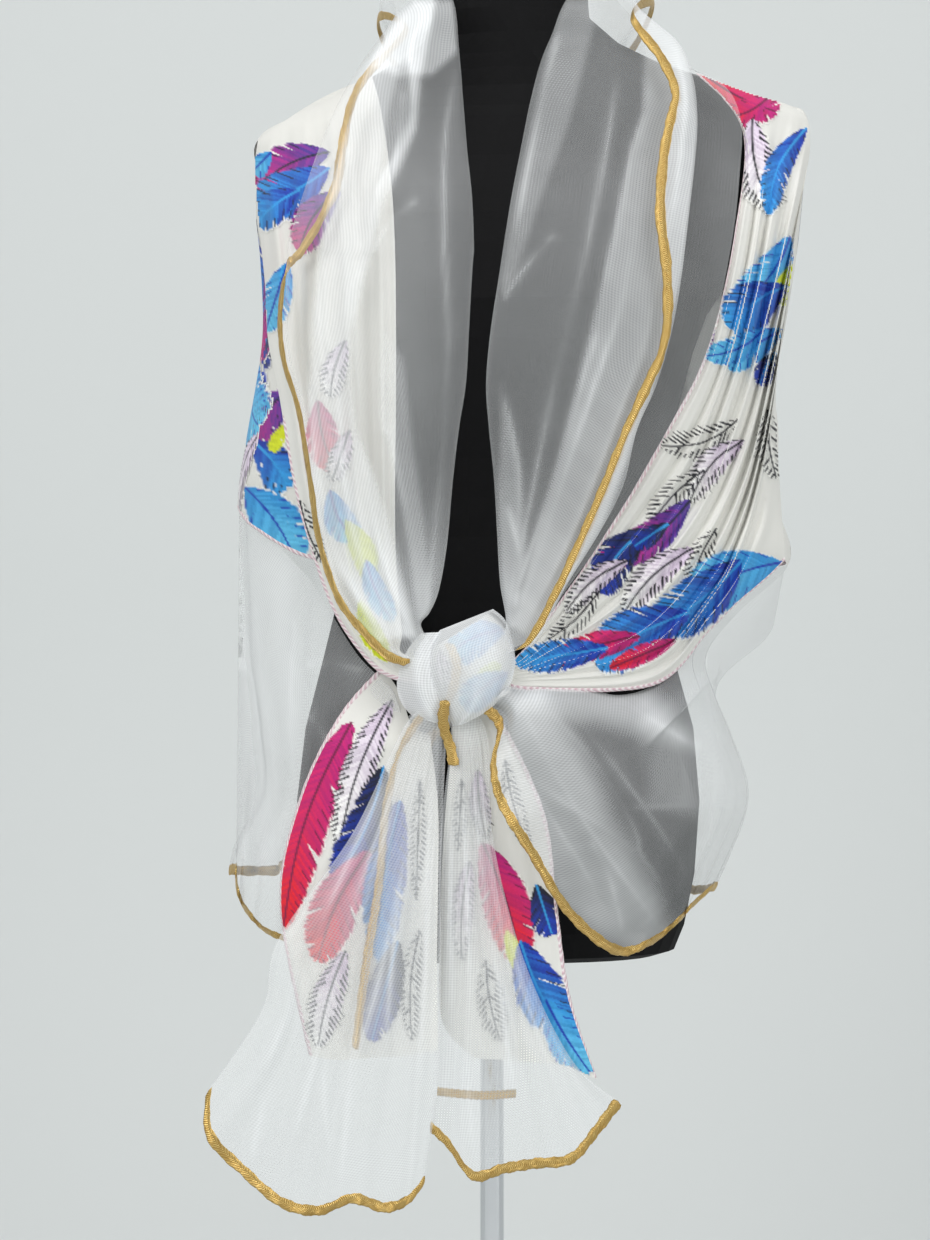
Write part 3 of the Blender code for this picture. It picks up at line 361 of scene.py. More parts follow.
def lay(name, grid, finish, nodes, cover=None):
    """A sheet from a grid of points, with its cloth measured in metres as its UV map."""
    rows, columns = grid.shape[:2]
    index = np.arange(rows * columns).reshape(rows, columns)
    quads = np.stack([index[:-1, :-1], index[:-1, 1:], index[1:, 1:], index[1:, :-1]], axis=-1)
    quads = quads.reshape(-1, 4)
    mesh = bpy.data.meshes.new(name)
    mesh.from_pydata(grid.reshape(-1, 3).tolist(), [], quads.tolist())
    mesh.shade_smooth()
    down = np.cumsum(np.linalg.norm(np.diff(grid, axis=0, prepend=grid[:1]), axis=-1), axis=0)
    across = np.cumsum(np.linalg.norm(np.diff(grid, axis=1, prepend=grid[:, :1]), axis=-1), axis=1)
    places = np.stack([across, down], axis=-1).reshape(-1, 2)
    mesh.uv_layers.new(name="cloth").data.foreach_set("uv", places[quads.reshape(-1)].reshape(-1))
    attribute = mesh.attributes.new("cover", "FLOAT", "POINT")
    values = np.ones(rows * columns) if cover is None else np.broadcast_to(cover, grid.shape[:2])
    attribute.data.foreach_set("value", np.ascontiguousarray(values, float).reshape(-1))
    mesh.materials.append(finish)
    piece = bpy.data.objects.new(name, mesh)
    bpy.context.scene.collection.objects.link(piece)
    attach(piece, "root")
    if nodes:
        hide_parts(*nodes)
    sides = np.cross(grid[1:, 1:] - grid[:-1, :-1], grid[1:, :-1] - grid[:-1, 1:])
    area = np.linalg.norm(sides, axis=-1).sum() / 2
    SHEETS[name] = (piece, area)
    print(name, rows, "x", columns, "points,", round(area, 4), "square metres")
    return piece


# %% [markdown]
# ## Finishes
#
# Each finish starts from the real cloth. Colours are given as hex values, the way a dye chart
# would, and one function turns them to the linear numbers that a renderer needs. One more
# function adds a shader node with its settings and links.

# %% Colour and node helpers
def linear(hex_code):
    """An sRGB hex colour as linear red, green and blue."""
    values = [int(hex_code[place:place + 2], 16) / 255 for place in (1, 3, 5)]
    return [v / 12.92 if v <= 0.04045 else ((v + 0.055) / 1.055) ** 2.4 for v in values]


def add_node(tree, kind, sockets=None, **settings):
    """A shader node with its settings, and its inputs set to values or linked to outputs."""
    node = tree.nodes.new(kind)
    for name, value in settings.items():
        setattr(node, name, value)
    for name, value in (sockets or {}).items():
        if isinstance(value, bpy.types.NodeSocket):
            tree.links.new(value, node.inputs[name])
        else:
            node.inputs[name].default_value = value
    return node


def new_finish(name):
    """An empty material, its node tree and its Principled shader."""
    material = bpy.data.materials.new(name)
    material.use_nodes = True
    return material, material.node_tree, material.node_tree.nodes["Principled BSDF"]


def bands(period):
    """The scale of a wave texture whose bands are this far apart, in metres."""
    return 2 * math.pi / (20 * period)


# %% [markdown]
# ### Organza
#
# Organza is a plain weave of fine, twisted, very even filament, stiff and open, so more than
# half of the light goes straight through. It is made here as a white shader whose alpha is the
# cover laid on each sheet: the cover of the weave and of its layers, raised along creases, fold
# edges and ridges as painted highlight and sheen. Its real threads are 0.2 mm apart, too fine for
# the picture, so the weave is drawn at 1.9 mm, as the faint ladder of lines that the eye sees
# over black.

# %% Woven organza
ORGANZA_WHITE = "#f4f6f7"
ORGANZA_WEAVE = 0.0019
WARP_WIDER = 1.3
ORGANZA_CLOUDS = 9.0

organza, tree, shader = new_finish("woven_organza")
cloth_map = add_node(tree, "ShaderNodeUVMap", uv_map="cloth")
weft = add_node(tree, "ShaderNodeTexWave", {"Vector": cloth_map.outputs["UV"],
    "Scale": bands(ORGANZA_WEAVE), "Distortion": 0.6, "Detail": 1.0, "Detail Scale": 0.4},
    bands_direction="Y")
warp = add_node(tree, "ShaderNodeTexWave", {"Vector": cloth_map.outputs["UV"],
    "Scale": bands(ORGANZA_WEAVE * WARP_WIDER), "Distortion": 0.6, "Detail": 1.0, "Detail Scale": 0.4},
    bands_direction="X")
threads = add_node(tree, "ShaderNodeMath", {0: weft.outputs["Fac"], 1: warp.outputs["Fac"]},
    operation="ADD")
open_weave = add_node(tree, "ShaderNodeMapRange", {"Value": threads.outputs[0], "From Max": 2.0,
    "To Min": 0.80, "To Max": 1.20})
clouds = add_node(tree, "ShaderNodeTexNoise", {"Vector": cloth_map.outputs["UV"],
    "Scale": ORGANZA_CLOUDS, "Detail": 3.0, "Roughness": 0.6})
cloudy = add_node(tree, "ShaderNodeMapRange", {"Value": clouds.outputs["Fac"], "From Min": 0.3,
    "From Max": 0.7, "To Min": 0.86, "To Max": 1.14})
# The laid cover holds each sheet's real layers and, along creases, fold edges and ridges, painted highlight
# and sheen.
laid_cover = add_node(tree, "ShaderNodeAttribute", attribute_name="cover")
woven = add_node(tree, "ShaderNodeMath", {0: open_weave.outputs[0], 1: cloudy.outputs[0]},
    operation="MULTIPLY")
alpha = add_node(tree, "ShaderNodeMath", {0: laid_cover.outputs["Fac"], 1: woven.outputs[0]},
    operation="MULTIPLY", use_clamp=True)
bump = add_node(tree, "ShaderNodeBump", {"Height": threads.outputs[0], "Strength": 0.12,
    "Distance": 0.0004})
shader.inputs["Base Color"].default_value = (*linear(ORGANZA_WHITE), 1)
shader.inputs["Roughness"].default_value = 0.55
shader.inputs["Sheen Weight"].default_value = 0.25
shader.inputs["Sheen Roughness"].default_value = 0.4
tree.links.new(alpha.outputs[0], shader.inputs["Alpha"])
tree.links.new(bump.outputs[0], shader.inputs["Normal"])
print("organza weave drawn at", ORGANZA_WEAVE * 1000, "mm")

# %% [markdown]
# ### Chiffon
#
# Chiffon is a soft, matt weave of crinkled crepe yarn. It lets a little light through, so a
# share of translucent shader is mixed in, and its surface is a fine grain with no gloss.

# %% Crepe chiffon
CHIFFON_CREAM = "#f3f2ec"
CHIFFON_SHADE = "#e6e5df"
CHIFFON_GRAIN = 0.0016

chiffon, tree, shader = new_finish("crepe_chiffon")
cloth_map = add_node(tree, "ShaderNodeUVMap", uv_map="cloth")
grain = add_node(tree, "ShaderNodeTexNoise", {"Vector": cloth_map.outputs["UV"], "Scale": 1 / CHIFFON_GRAIN,
    "Detail": 2.0})
slack = add_node(tree, "ShaderNodeTexNoise", {"Vector": cloth_map.outputs["UV"], "Scale": 14.0,
    "Detail": 2.0})
tone = add_node(tree, "ShaderNodeMix", {"Factor": slack.outputs["Fac"], 6: (*linear(CHIFFON_SHADE), 1),
    7: (*linear(CHIFFON_CREAM), 1)}, data_type="RGBA")
bump = add_node(tree, "ShaderNodeBump", {"Height": grain.outputs["Fac"], "Strength": 0.25,
    "Distance": 0.0003})
tree.links.new(tone.outputs[2], shader.inputs["Base Color"])
tree.links.new(bump.outputs[0], shader.inputs["Normal"])
shader.inputs["Roughness"].default_value = 0.75
shader.inputs["Sheen Weight"].default_value = 0.2
shader.inputs["Alpha"].default_value = 0.97
glow = add_node(tree, "ShaderNodeBsdfTranslucent", {"Color": tone.outputs[2], "Normal": bump.outputs[0]})
mixed = add_node(tree, "ShaderNodeMixShader", {"Fac": 0.12, 1: shader.outputs[0], 2: glow.outputs[0]})
tree.links.new(mixed.outputs[0], tree.nodes["Material Output"].inputs["Surface"])
print("chiffon grain drawn at", CHIFFON_GRAIN * 1000, "mm")

# %% [markdown]
# ### Printed dye
#
# The print is dye in the yarn, so it could be an image on the chiffon, but here it is a thin
# piece of its own whose points each carry a colour. It has the chiffon's matt surface, and the
# eye sees only a change of colour with the same fine grain.

# %% Printed dye
dye, tree, shader = new_finish("printed_dye")
colour = add_node(tree, "ShaderNodeAttribute", attribute_name="dye")
place = add_node(tree, "ShaderNodeTexCoord")
grain = add_node(tree, "ShaderNodeTexNoise", {"Vector": place.outputs["Object"], "Scale": 1 / CHIFFON_GRAIN,
    "Detail": 2.0})
worn = add_node(tree, "ShaderNodeMapRange", {"Value": grain.outputs["Fac"], "To Min": 0.86, "To Max": 1.10})
shade = add_node(tree, "ShaderNodeVectorMath", {0: colour.outputs["Color"], "Scale": worn.outputs[0]},
    operation="SCALE")
tree.links.new(shade.outputs[0], shader.inputs["Base Color"])
shader.inputs["Roughness"].default_value = 0.8
shader.inputs["Sheen Weight"].default_value = 0.1
print("dye grain drawn at", CHIFFON_GRAIN * 1000, "mm")

# %% [markdown]
# ### Gilt ribbon
#
# The binding is a narrow woven ribbon with a flat gilt yarn, ribbed across. Its real ribs are
# about 0.8 mm apart and are drawn twice as coarse, so that they show. The gilt is a warm,
# slightly rough metal with small flecks. Its colour is painted darker in the grooves between ribs
# and flecks, a painted shade, and lighter on their tops, a painted glint.

# %% Gilt ribbon
# The gilt's colour, and the painted shade that it takes in its grooves
RIBBON_GOLD = "#f2d68c"
RIBBON_PAINTED_SHADE = "#a87c30"
RIBBON_RIB = 0.0016

ribbon, tree, shader = new_finish("gilt_yarn_ribbon")
cloth_map = add_node(tree, "ShaderNodeUVMap", uv_map="cloth")
ribs = add_node(tree, "ShaderNodeTexWave", {"Vector": cloth_map.outputs["UV"], "Scale": bands(RIBBON_RIB),
    "Distortion": 1.5, "Detail": 2.0, "Detail Scale": 2.0}, bands_direction="Y")
flecks = add_node(tree, "ShaderNodeTexNoise", {"Vector": cloth_map.outputs["UV"], "Scale": 260.0,
    "Detail": 2.0})
both = add_node(tree, "ShaderNodeMath", {0: ribs.outputs["Fac"], 1: flecks.outputs["Fac"]},
    operation="MULTIPLY")
# Painted shade and glint: the colour runs from the dark shade in the low places of the ribs and flecks to
# the pale gold on their tops, the same heights that the bump uses.
depth = add_node(tree, "ShaderNodeMapRange", {"Value": both.outputs[0], "From Max": 0.6})
tone = add_node(tree, "ShaderNodeMix", {"Factor": depth.outputs[0], 6: (*linear(RIBBON_PAINTED_SHADE), 1),
    7: (*linear(RIBBON_GOLD), 1)}, data_type="RGBA")
bump = add_node(tree, "ShaderNodeBump", {"Height": both.outputs[0], "Strength": 0.7, "Distance": 0.0008})
tree.links.new(tone.outputs[2], shader.inputs["Base Color"])
tree.links.new(bump.outputs[0], shader.inputs["Normal"])
shader.inputs["Metallic"].default_value = 0.75
shader.inputs["Roughness"].default_value = 0.30
print("ribbon ribs drawn at", RIBBON_RIB * 1000, "mm")

# %% [markdown]
# ### Overlock thread
#
# The chiffon's own edges are overlocked: soft textured thread loops round the edge with one
# stitch every 2.6 mm. The eye sees a matt edge that changes from pale to rose.

# %% Overlock thread
OVERLOCK_STITCH = 0.0026
OVERLOCK_PALE = "#f4ecec"
OVERLOCK_ROSE = "#d9b9c2"

overlock, tree, shader = new_finish("overlock_thread")
cloth_map = add_node(tree, "ShaderNodeUVMap", uv_map="cloth")
loops = add_node(tree, "ShaderNodeTexWave", {"Vector": cloth_map.outputs["UV"],
    "Scale": bands(OVERLOCK_STITCH), "Distortion": 2.0, "Detail": 1.0}, bands_direction="DIAGONAL")
tone = add_node(tree, "ShaderNodeMix", {"Factor": loops.outputs["Fac"], 6: (*linear(OVERLOCK_ROSE), 1),
    7: (*linear(OVERLOCK_PALE), 1)}, data_type="RGBA")
bump = add_node(tree, "ShaderNodeBump", {"Height": loops.outputs["Fac"], "Strength": 0.8,
    "Distance": 0.0008})
tree.links.new(tone.outputs[2], shader.inputs["Base Color"])
tree.links.new(bump.outputs[0], shader.inputs["Normal"])
shader.inputs["Roughness"].default_value = 0.8
print("overlock stitches every", OVERLOCK_STITCH * 1000, "mm")

# %% [markdown]
# ### Form skin, chrome and steel
#
# The form is foam under a tight black jersey skin, which soaks up light and has a fine nap. The
# pole is chromed steel tube, polished and lightly wiped, so it mirrors the room with a soft
# haze. The foot is a steel plate brushed in rings, which gives it a round, silky gleam.

# %% Form skin
SKIN_DARK, SKIN_NAP = "#040405", "#0b0b0d"

skin, tree, shader = new_finish("black_jersey_skin")
place = add_node(tree, "ShaderNodeTexCoord")
nap = add_node(tree, "ShaderNodeTexNoise", {"Vector": place.outputs["Object"], "Scale": 900.0,
    "Detail": 2.0})
bump = add_node(tree, "ShaderNodeBump", {"Height": nap.outputs["Fac"], "Strength": 0.2, "Distance": 0.0004})
tone = add_node(tree, "ShaderNodeMix", {"Factor": nap.outputs["Fac"], 6: (*linear(SKIN_DARK), 1),
    7: (*linear(SKIN_NAP), 1)}, data_type="RGBA")
tree.links.new(tone.outputs[2], shader.inputs["Base Color"])
tree.links.new(bump.outputs[0], shader.inputs["Normal"])
shader.inputs["Roughness"].default_value = 0.8
shader.inputs["Specular IOR Level"].default_value = 0.2
print("form skin", SKIN_DARK)

# %% Chromed tube
chrome, tree, shader = new_finish("chromed_tube")
place = add_node(tree, "ShaderNodeTexCoord")
wipe = add_node(tree, "ShaderNodeTexNoise", {"Vector": place.outputs["Object"], "Scale": 40.0,
    "Detail": 3.0})
haze = add_node(tree, "ShaderNodeMapRange", {"Value": wipe.outputs["Fac"], "To Min": 0.08,
    "To Max": 0.2})
shader.inputs["Base Color"].default_value = (*linear("#d7d9dc"), 1)
shader.inputs["Metallic"].default_value = 1.0
tree.links.new(haze.outputs[0], shader.inputs["Roughness"])

print("chrome haze from 0.08 to 0.2")

# %% Brushed steel, and the stand's finishes
# Real brush lines are finer than the render shows, so they are drawn 1.2 mm apart
BRUSH_LINES = 0.0012

steel, tree, shader = new_finish("brushed_steel_plate")
place = add_node(tree, "ShaderNodeTexCoord")
turned = add_node(tree, "ShaderNodeTexWave", {"Vector": place.outputs["Object"],
    "Scale": bands(BRUSH_LINES), "Distortion": 0.4, "Detail": 2.0}, wave_type="RINGS", rings_direction="Z")
haze = add_node(tree, "ShaderNodeMapRange", {"Value": turned.outputs["Fac"], "To Min": 0.28,
    "To Max": 0.42})
shader.inputs["Base Color"].default_value = (*linear("#b9bcc0"), 1)
shader.inputs["Metallic"].default_value = 1.0
tree.links.new(haze.outputs[0], shader.inputs["Roughness"])

for node, finish in (("dress_form", skin), ("pole", chrome), ("base", steel)):
    stand_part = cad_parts[node]
    stand_part.data.materials.clear()
    stand_part.data.materials.append(finish)
print("stand finished")

# %% [markdown]
# ## Bindings and overlocked edges
#
# The gold edge is a ribbon folded over the raw edge, so it shows on both faces. It is a flat
# tube that follows the edge of its sheet, a little wavy as a sewn ribbon is. The overlocked
# edge is a lower, narrower tube of thread.

# %% Tubes along an edge
GOLD_WIDTH = 0.0080
GOLD_DEPTH = 0.0018
OVERLOCK_WIDTH = 0.0036
OVERLOCK_DEPTH = 0.0012
TUBE_SIDES = 10


def along_edge(name, edge, inner, normals, width, depth, finish, nodes, slot, inset=0.42):
    """A flat closed tube on a sheet's edge: inner holds points a little further in."""
    inward = unit(inner - edge)
    centre = edge + inward * width * inset
    turn = np.arange(TUBE_SIDES + 1) * 2 * math.pi / TUBE_SIDES
    reach = np.linspace(0, 1, len(edge))
    wavy = 1 + 0.10 * np.sin(reach * len(edge) * 0.9) + 0.06 * np.sin(reach * len(edge) * 2.3)
    size = (width / 2 * wavy)[:, None, None]
    rings = centre[:, None] + inward[:, None] * np.cos(turn)[None, :, None] * size
    rings = rings + normals[:, None] * np.sin(turn)[None, :, None] * depth / 2
    rings[0] = rings[0].mean(axis=0)
    rings[-1] = rings[-1].mean(axis=0)
    return lay(name, rings, finish, nodes)


def edge_of(grid, side):
    """Edge points, the points a little further in, and the normals of one side of a grid."""
    normals = grid_normals(grid)
    if side == "last row":
        return grid[-1], grid[-3], normals[-1]
    if side == "last column":
        return grid[:, -1], grid[:, -3], normals[:, -1]
    return grid[:, 0], grid[:, 2], normals[:, 0]


print("ribbon", GOLD_WIDTH * 1000, "mm wide, overlocked edge", OVERLOCK_WIDTH * 1000, "mm wide")

# %% [markdown]
# ## The printed back
#
# The widest stretch of chiffon runs over both shoulders and down the back, with soft upright
# folds that deepen towards its lower edge. Below it hangs the organza border with its gold hem.
# The photograph doesn't show the back, so it is finished as such a scarf hangs.

# %% Edges and folds of the back
# Angle in degrees from the right side, height of the chiffon's edge, height of the hem, in mm
BACK_EDGES = [
    (0, 914, 650), (30, 904, 640), (60, 912, 655), (90, 922, 640), (120, 932, 662),
    (150, 946, 655), (180, 956, 664), (205, 936, 664), (228, 912, 664),
]
BACK_FOLDS = 7
FOLD_DEPTH, FINE_FOLD_DEPTH = 0.006, 0.0012


def back_edge(column, degrees):
    """Height of an edge of the back in metres, by angle."""
    table = np.asarray(BACK_EDGES, float)
    at = np.interp(degrees, table[:, 0], np.arange(len(table)))
    return spline(table[:, column] / 1000, at)


def back_wave(degrees, share):
    """Soft upright folds that deepen down the back; share is 0 at the shoulders, 1 at the hem."""
    turn = np.radians(degrees) * BACK_FOLDS * 2 + 0.9 * np.sin(np.radians(degrees) * 3)
    fine = FINE_FOLD_DEPTH * np.sin(turn * 2.7 + 1.3)
    return (FOLD_DEPTH * (1 + np.sin(turn)) + fine) * share**1.5


print("lowest place of the chiffon's back edge, metres:", back_edge(1, np.arange(229)).min().round(3))

# %% Back panel
# Heights in mm of the rows over the shoulders
SHOULDER_ROWS = [1310, 1298, 1284, 1267, 1258, 1247, 1225, 1200]
# The panel ends at 180 degrees above the left arm's edge and reaches further round below it
PANEL_END, PANEL_FURTHER, ARM_EDGE, ARM_SLOPE = 180, 50, 1.215, 0.09
TURN_FROM, TURN_SPAN = 170, 60
BEHIND_FRONT = 0.006
SWAG_DEPTH, SWAGS_DOWN = 0.0016, 48

shoulder = np.array(SHOULDER_ROWS) / 1000
degrees = np.linspace(0, PANEL_END + PANEL_FURTHER, 140)
rows = np.concatenate([np.linspace(0, 1, 40), np.linspace(1, 2, 61)[1:]])
heights = np.empty((len(rows), len(degrees)))
for column, angle in enumerate(degrees):
    top = np.interp(rows[rows <= 1] * (len(shoulder) - 1), np.arange(len(shoulder)), shoulder)
    low = shoulder[-1] + (back_edge(1, angle) - shoulder[-1]) * (rows[rows > 1] - 1)
    heights[:, column] = np.concatenate([top, low])
turn = np.broadcast_to(degrees, heights.shape).copy()
reach = PANEL_END + PANEL_FURTHER * smooth_step(0, 1, (ARM_EDGE - heights) / ARM_SLOPE)
turn = np.where(turn > TURN_FROM, TURN_FROM + (turn - TURN_FROM) * (reach - TURN_FROM) / TURN_SPAN, turn)
share = 1 - smooth_step(0.93, 1.20, heights)
side = smooth_step(0, 25, turn) * (1 - smooth_step(165, 185, turn))
behind = BEHIND_FRONT * smooth_step(180, 190, turn) * smooth_step(1.04, 1.10, heights)
sag = 2.2 * np.cos(np.radians(turn - 90) * 1.4)
swags = SWAG_DEPTH * np.sin((shoulder[0] - heights) * SWAGS_DOWN + sag) * side * share**0.4
back_grid = ring_point(np.radians(turn), heights, back_wave(turn, share) * side - behind + swags)
lay("back_panel", back_grid, chiffon, ["back_chiffon"])

# %% Back border
BORDER_GAP = 0.0008
HEM_FLARE, HEM_FLARES = 0.009, 9
HEM_RIPPLE, HEM_RIPPLES = 0.0022, 41
# The back border's cover, and the painted highlight that it gains on the crests of its ripples
BACK_COVER, RIPPLE_CREST_HIGHLIGHT = 0.22, 0.12

degrees = np.linspace(0, 180, 181)
rows = np.linspace(0, 1, 46)[:, None]
top = back_edge(1, degrees) - BORDER_GAP
heights = top + (back_edge(2, degrees) - top) * rows
turn = np.broadcast_to(degrees, heights.shape)
side = smooth_step(0, 25, turn) * (1 - smooth_step(155, 180, turn))
flare = HEM_FLARE * rows**1.3 * (1 + np.sin(np.radians(turn) * HEM_FLARES))
ripple = np.sin(np.radians(turn) * HEM_RIPPLES) * rows
wave = back_wave(turn, np.ones_like(turn)) + flare
wave = wave + HEM_RIPPLE * ripple
hem_grid = ring_point(np.radians(turn), heights, wave * side)
# Painted highlight: the cover goes up on the crests of the hem's ripples, where they stand out towards the
# light.
ridges = np.clip(ripple, 0, 1) ** 4
lay("back_border", hem_grid, organza, ["back_hem_organza"], BACK_COVER + RIPPLE_CREST_HIGHLIGHT * ridges)
along_edge("back_border_gold", *edge_of(hem_grid, "last row"), GOLD_WIDTH, GOLD_DEPTH, ribbon,
    ["back_hem_gold"], "gold_ribbon")
along_edge("back_seam_overlock", *edge_of(back_grid, "last row"), OVERLOCK_WIDTH, OVERLOCK_DEPTH,
    overlock, [], "chiffon")

# %% [markdown]
# ## The two fronts
#
# The right front fans out from the knot in long pleats. Each pleat is a line in the table, seen
# from shoulder to knot, and the cloth rises between two lines. The left front is narrower and
# more gathered. Both stop at the drape's outline, where the back panel takes over.

# %% Pleated right front
# One pleat line a row, seen: x, y at each station from shoulder to knot
RIGHT_PLEATS = [
    ((695, 72), (742, 128), (736, 225), (709, 345), (664, 436), (600, 543), (525, 648)),
    ((745, 91), (757, 165), (746, 262), (718, 372), (673, 464), (605, 560), (526, 653)),
    ((788, 104), (771, 185), (754, 282), (724, 392), (681, 490), (612, 577), (527, 658)),
    ((806, 114), (784, 212), (762, 308), (733, 412), (690, 510), (619, 594), (527, 662)),
    ((810, 150), (792, 240), (770, 332), (743, 432), (700, 528), (626, 610), (528, 666)),
    ((800, 202), (787, 282), (771, 362), (747, 460), (706, 550), (634, 628), (528, 670)),
    ((792, 270), (780, 345), (765, 420), (744, 500), (709, 572), (641, 643), (528, 674)),
    ((781, 340), (773, 400), (761, 462), (742, 528), (711, 589), (646, 657), (528, 678)),
    ((776, 410), (768, 462), (756, 512), (739, 560), (711, 605), (650, 670), (527, 682)),
    ((785, 560), (770, 575), (755, 588), (736, 604), (708, 632), (652, 686), (526, 690)),
]
PLEAT_RISE, PLEAT_SHARE = 0.007, 0.30
TUCK_RISE, TUCK_SHARE, TUCKS_A_PLEAT = 0.0016, 0.10, 2.63
SEAM_EASE = 0.0008
RAILS, STATIONS = 118, 96
# Where both fronts end inside the knot, seen, and how closely their lines lie there
RIGHT_TUCKED, LEFT_TUCKED, TUCKED_SHARE = 508.0, (428, 684, 424, 660), 0.6

lines = np.array(RIGHT_PLEATS, float)
tucked = KNOT_PX[1] + (lines[:, -1, 1] - KNOT_PX[1]) * TUCKED_SHARE
tucked = np.stack([np.full(len(lines), RIGHT_TUCKED), tucked], axis=-1)
lines = np.concatenate([lines, tucked[:, None]], axis=1)
rail_at = np.linspace(0, len(lines) - 1, RAILS)
stations = np.linspace(0, 1, STATIONS) ** 1.35 * (lines.shape[1] - 1)
path = spline(np.moveaxis(spline(lines, rail_at), 1, 0), stations)
px, py = path[..., 0], path[..., 1]
base, _ = pull(px, py)
pitch = (RAILS - 1) / (len(lines) - 1)
spacing = np.hypot(np.gradient(px, axis=1), np.gradient(py, axis=1)) * READING * pitch
fade = smooth_step(0.0, 1.6, stations)[:, None]
ridge = 0.5 - 0.5 * np.cos(2 * math.pi * rail_at)
ridge = ridge * np.clip(np.minimum(rail_at, rail_at[-1] - rail_at), 0, 1)
tucks = 0.5 + 0.5 * np.sin(2 * math.pi * rail_at * TUCKS_A_PLEAT + 0.7)
rise = np.minimum(PLEAT_RISE, spacing * PLEAT_SHARE) * fade * ridge
rise = rise + np.minimum(TUCK_RISE, spacing * TUCK_SHARE) * fade * tucks
right_grid = on_drape(px, py, base + rise)
right_grid[0] = to_outline(right_grid[0], "right", 0.90)
right_grid[..., 1] = np.minimum(right_grid[..., 1], -SEAM_EASE)
lay("right_front", right_grid, chiffon, ["right_front_chiffon"])
along_edge("right_front_overlock", *edge_of(right_grid[2:], "first column"), OVERLOCK_WIDTH, OVERLOCK_DEPTH,
    overlock, [], "chiffon")
along_edge("right_hem_overlock", *edge_of(right_grid[2:], "last column"), OVERLOCK_WIDTH, OVERLOCK_DEPTH,
    overlock, [], "chiffon")

# %% Gathered left front
# Outer edge x, y and inner edge x, y, seen at each station from shoulder to knot
LEFT_BAND = [
    (258, 140, 372, 76), (255, 170, 381, 110), (259, 225, 391, 180), (265, 285, 395, 250),
    (268, 340, 396, 330), (279, 395, 396, 410), (294, 485, 395, 490), (312, 552, 396, 560),
    (333, 610, 400, 610), (362, 655, 402, 634), (390, 678, 401, 652),
]
CROWN_PX = 7.0
LEFT_PLEATS = 4
LEFT_RISE, LEFT_TUCK_RISE = 0.005, 0.0014
# The station from which the left front's overlocked edge shows
OVERLOCK_FROM = 50

band = np.array(LEFT_BAND + [LEFT_TUCKED], float)
stations = np.linspace(0, 1, 90) ** 1.3 * (len(band) - 1)
edges = spline(band, stations)
across = np.linspace(0, 1, 64)
px = edges[:, 0:1] + (edges[:, 2:3] - edges[:, 0:1]) * across
py = edges[:, 1:2] + (edges[:, 3:4] - edges[:, 1:2]) * across
py = py - CROWN_PX * np.sin(math.pi * across) * (1 - smooth_step(0, 1.5, stations))[:, None]
base, _ = pull(px, py)
fade = smooth_step(0.0, 2.5, stations)[:, None]
width = np.abs(edges[:, 2:3] - edges[:, 0:1]) * READING / LEFT_PLEATS
ridge = 0.5 - 0.5 * np.cos(2 * math.pi * across * LEFT_PLEATS)
tucks = 0.5 + 0.5 * np.sin(2 * math.pi * across * LEFT_PLEATS * 2.6)
rise = np.minimum(LEFT_RISE, width * 0.25) * ridge * fade
rise = rise + np.minimum(LEFT_TUCK_RISE, width * 0.08) * tucks * fade
left_grid = on_drape(px, py, base + rise)
left_grid[0] = to_outline(left_grid[0], "left", 1.24)
left_grid[..., 1] = np.minimum(left_grid[..., 1], -SEAM_EASE)
lay("left_front", left_grid, chiffon, ["left_front_chiffon"])
along_edge("left_front_overlock", *edge_of(left_grid[OVERLOCK_FROM:], "first column"), OVERLOCK_WIDTH,
    OVERLOCK_DEPTH, overlock, [], "chiffon")

# %% [markdown]
# ## The rolled collar
#
# The upper border is one long strip of organza, seamed to the chiffon and rolled outwards, so
# two layers lie over each other and the gold edge lies back on the shoulder. One row of the
# table is one station along the roll. The strip is a single sheet here, from the knot up the
# right side, round the neck and down the left.

# %% Guides of the roll
# Seen: seam x, y, inner fold x, y, outer fold x, y, gold edge x, y
RIGHT_ROLL = [
    (694, 72, 566, 0, 636, 4, 631, 20), (716, 80, 552, 34, 678, 42, 658, 60),
    (733, 100, 541, 61, 692, 75, 672, 92), (740, 130, 531, 98, 697, 110, 668, 114),
    (738, 170, 521, 147, 696, 150, 660, 153), (733, 222, 510, 205, 689, 214, 656, 212),
    (722, 285, 499, 275, 681, 280, 663, 280), (709, 345, 490, 335, 671, 335, 661, 342),
    (694, 385, 486, 385, 656, 386, 643, 384), (664, 434, 489, 430, 637, 430, 622, 432),
    (632, 490, 494, 480, 623, 486, 601, 484), (600, 541, 497, 533, 598, 535, 580, 533),
    (563, 592, 500, 583, 566, 586, 553, 591), (532, 636, 506, 624, 539, 637, 525, 642),
    (506, 650, 496, 640, 510, 652, 503, 655),
]
LEFT_ROLL = [
    (372, 76, 453, 0, 396, 14, 409, 30), (381, 108, 459, 48, 364, 60, 375, 72),
    (388, 145, 463, 97, 341, 97, 356, 104), (392, 190, 467, 147, 321, 143, 347, 150),
    (395, 240, 472, 196, 303, 194, 338, 195), (396, 290, 474, 245, 289, 240, 306, 250),
    (396, 303, 473, 261, 288, 256, 293, 264), (396, 316, 472, 277, 287, 270, 285, 276),
    (396, 330, 471, 294, 287, 285, 281, 288), (396, 365, 469, 331, 286, 322, 278, 322),
    (396, 400, 466, 383, 290, 362, 282, 362), (395, 440, 459, 429, 304, 414, 297, 412),
    (395, 495, 453, 480, 315, 480, 308, 480), (396, 550, 447, 545, 323, 538, 316, 538),
    (400, 594, 439, 590, 342, 595, 335, 598), (404, 618, 430, 612, 368, 628, 360, 633),
    (407, 634, 421, 625, 394, 651, 386, 659), (424, 655, 432, 645, 420, 662, 416, 668),
]
# Layers in front of the drape, in metres: first layer, second layer, gold edge
RIGHT_LAYERS = (0.008, 0.020, 0.029)
LEFT_LAYERS = (0.010, 0.026, 0.018)
FOLD_PX = 7.0
SEAM_LAP_PX = 2.0
SEAM_LAP_LIFT = 0.0050
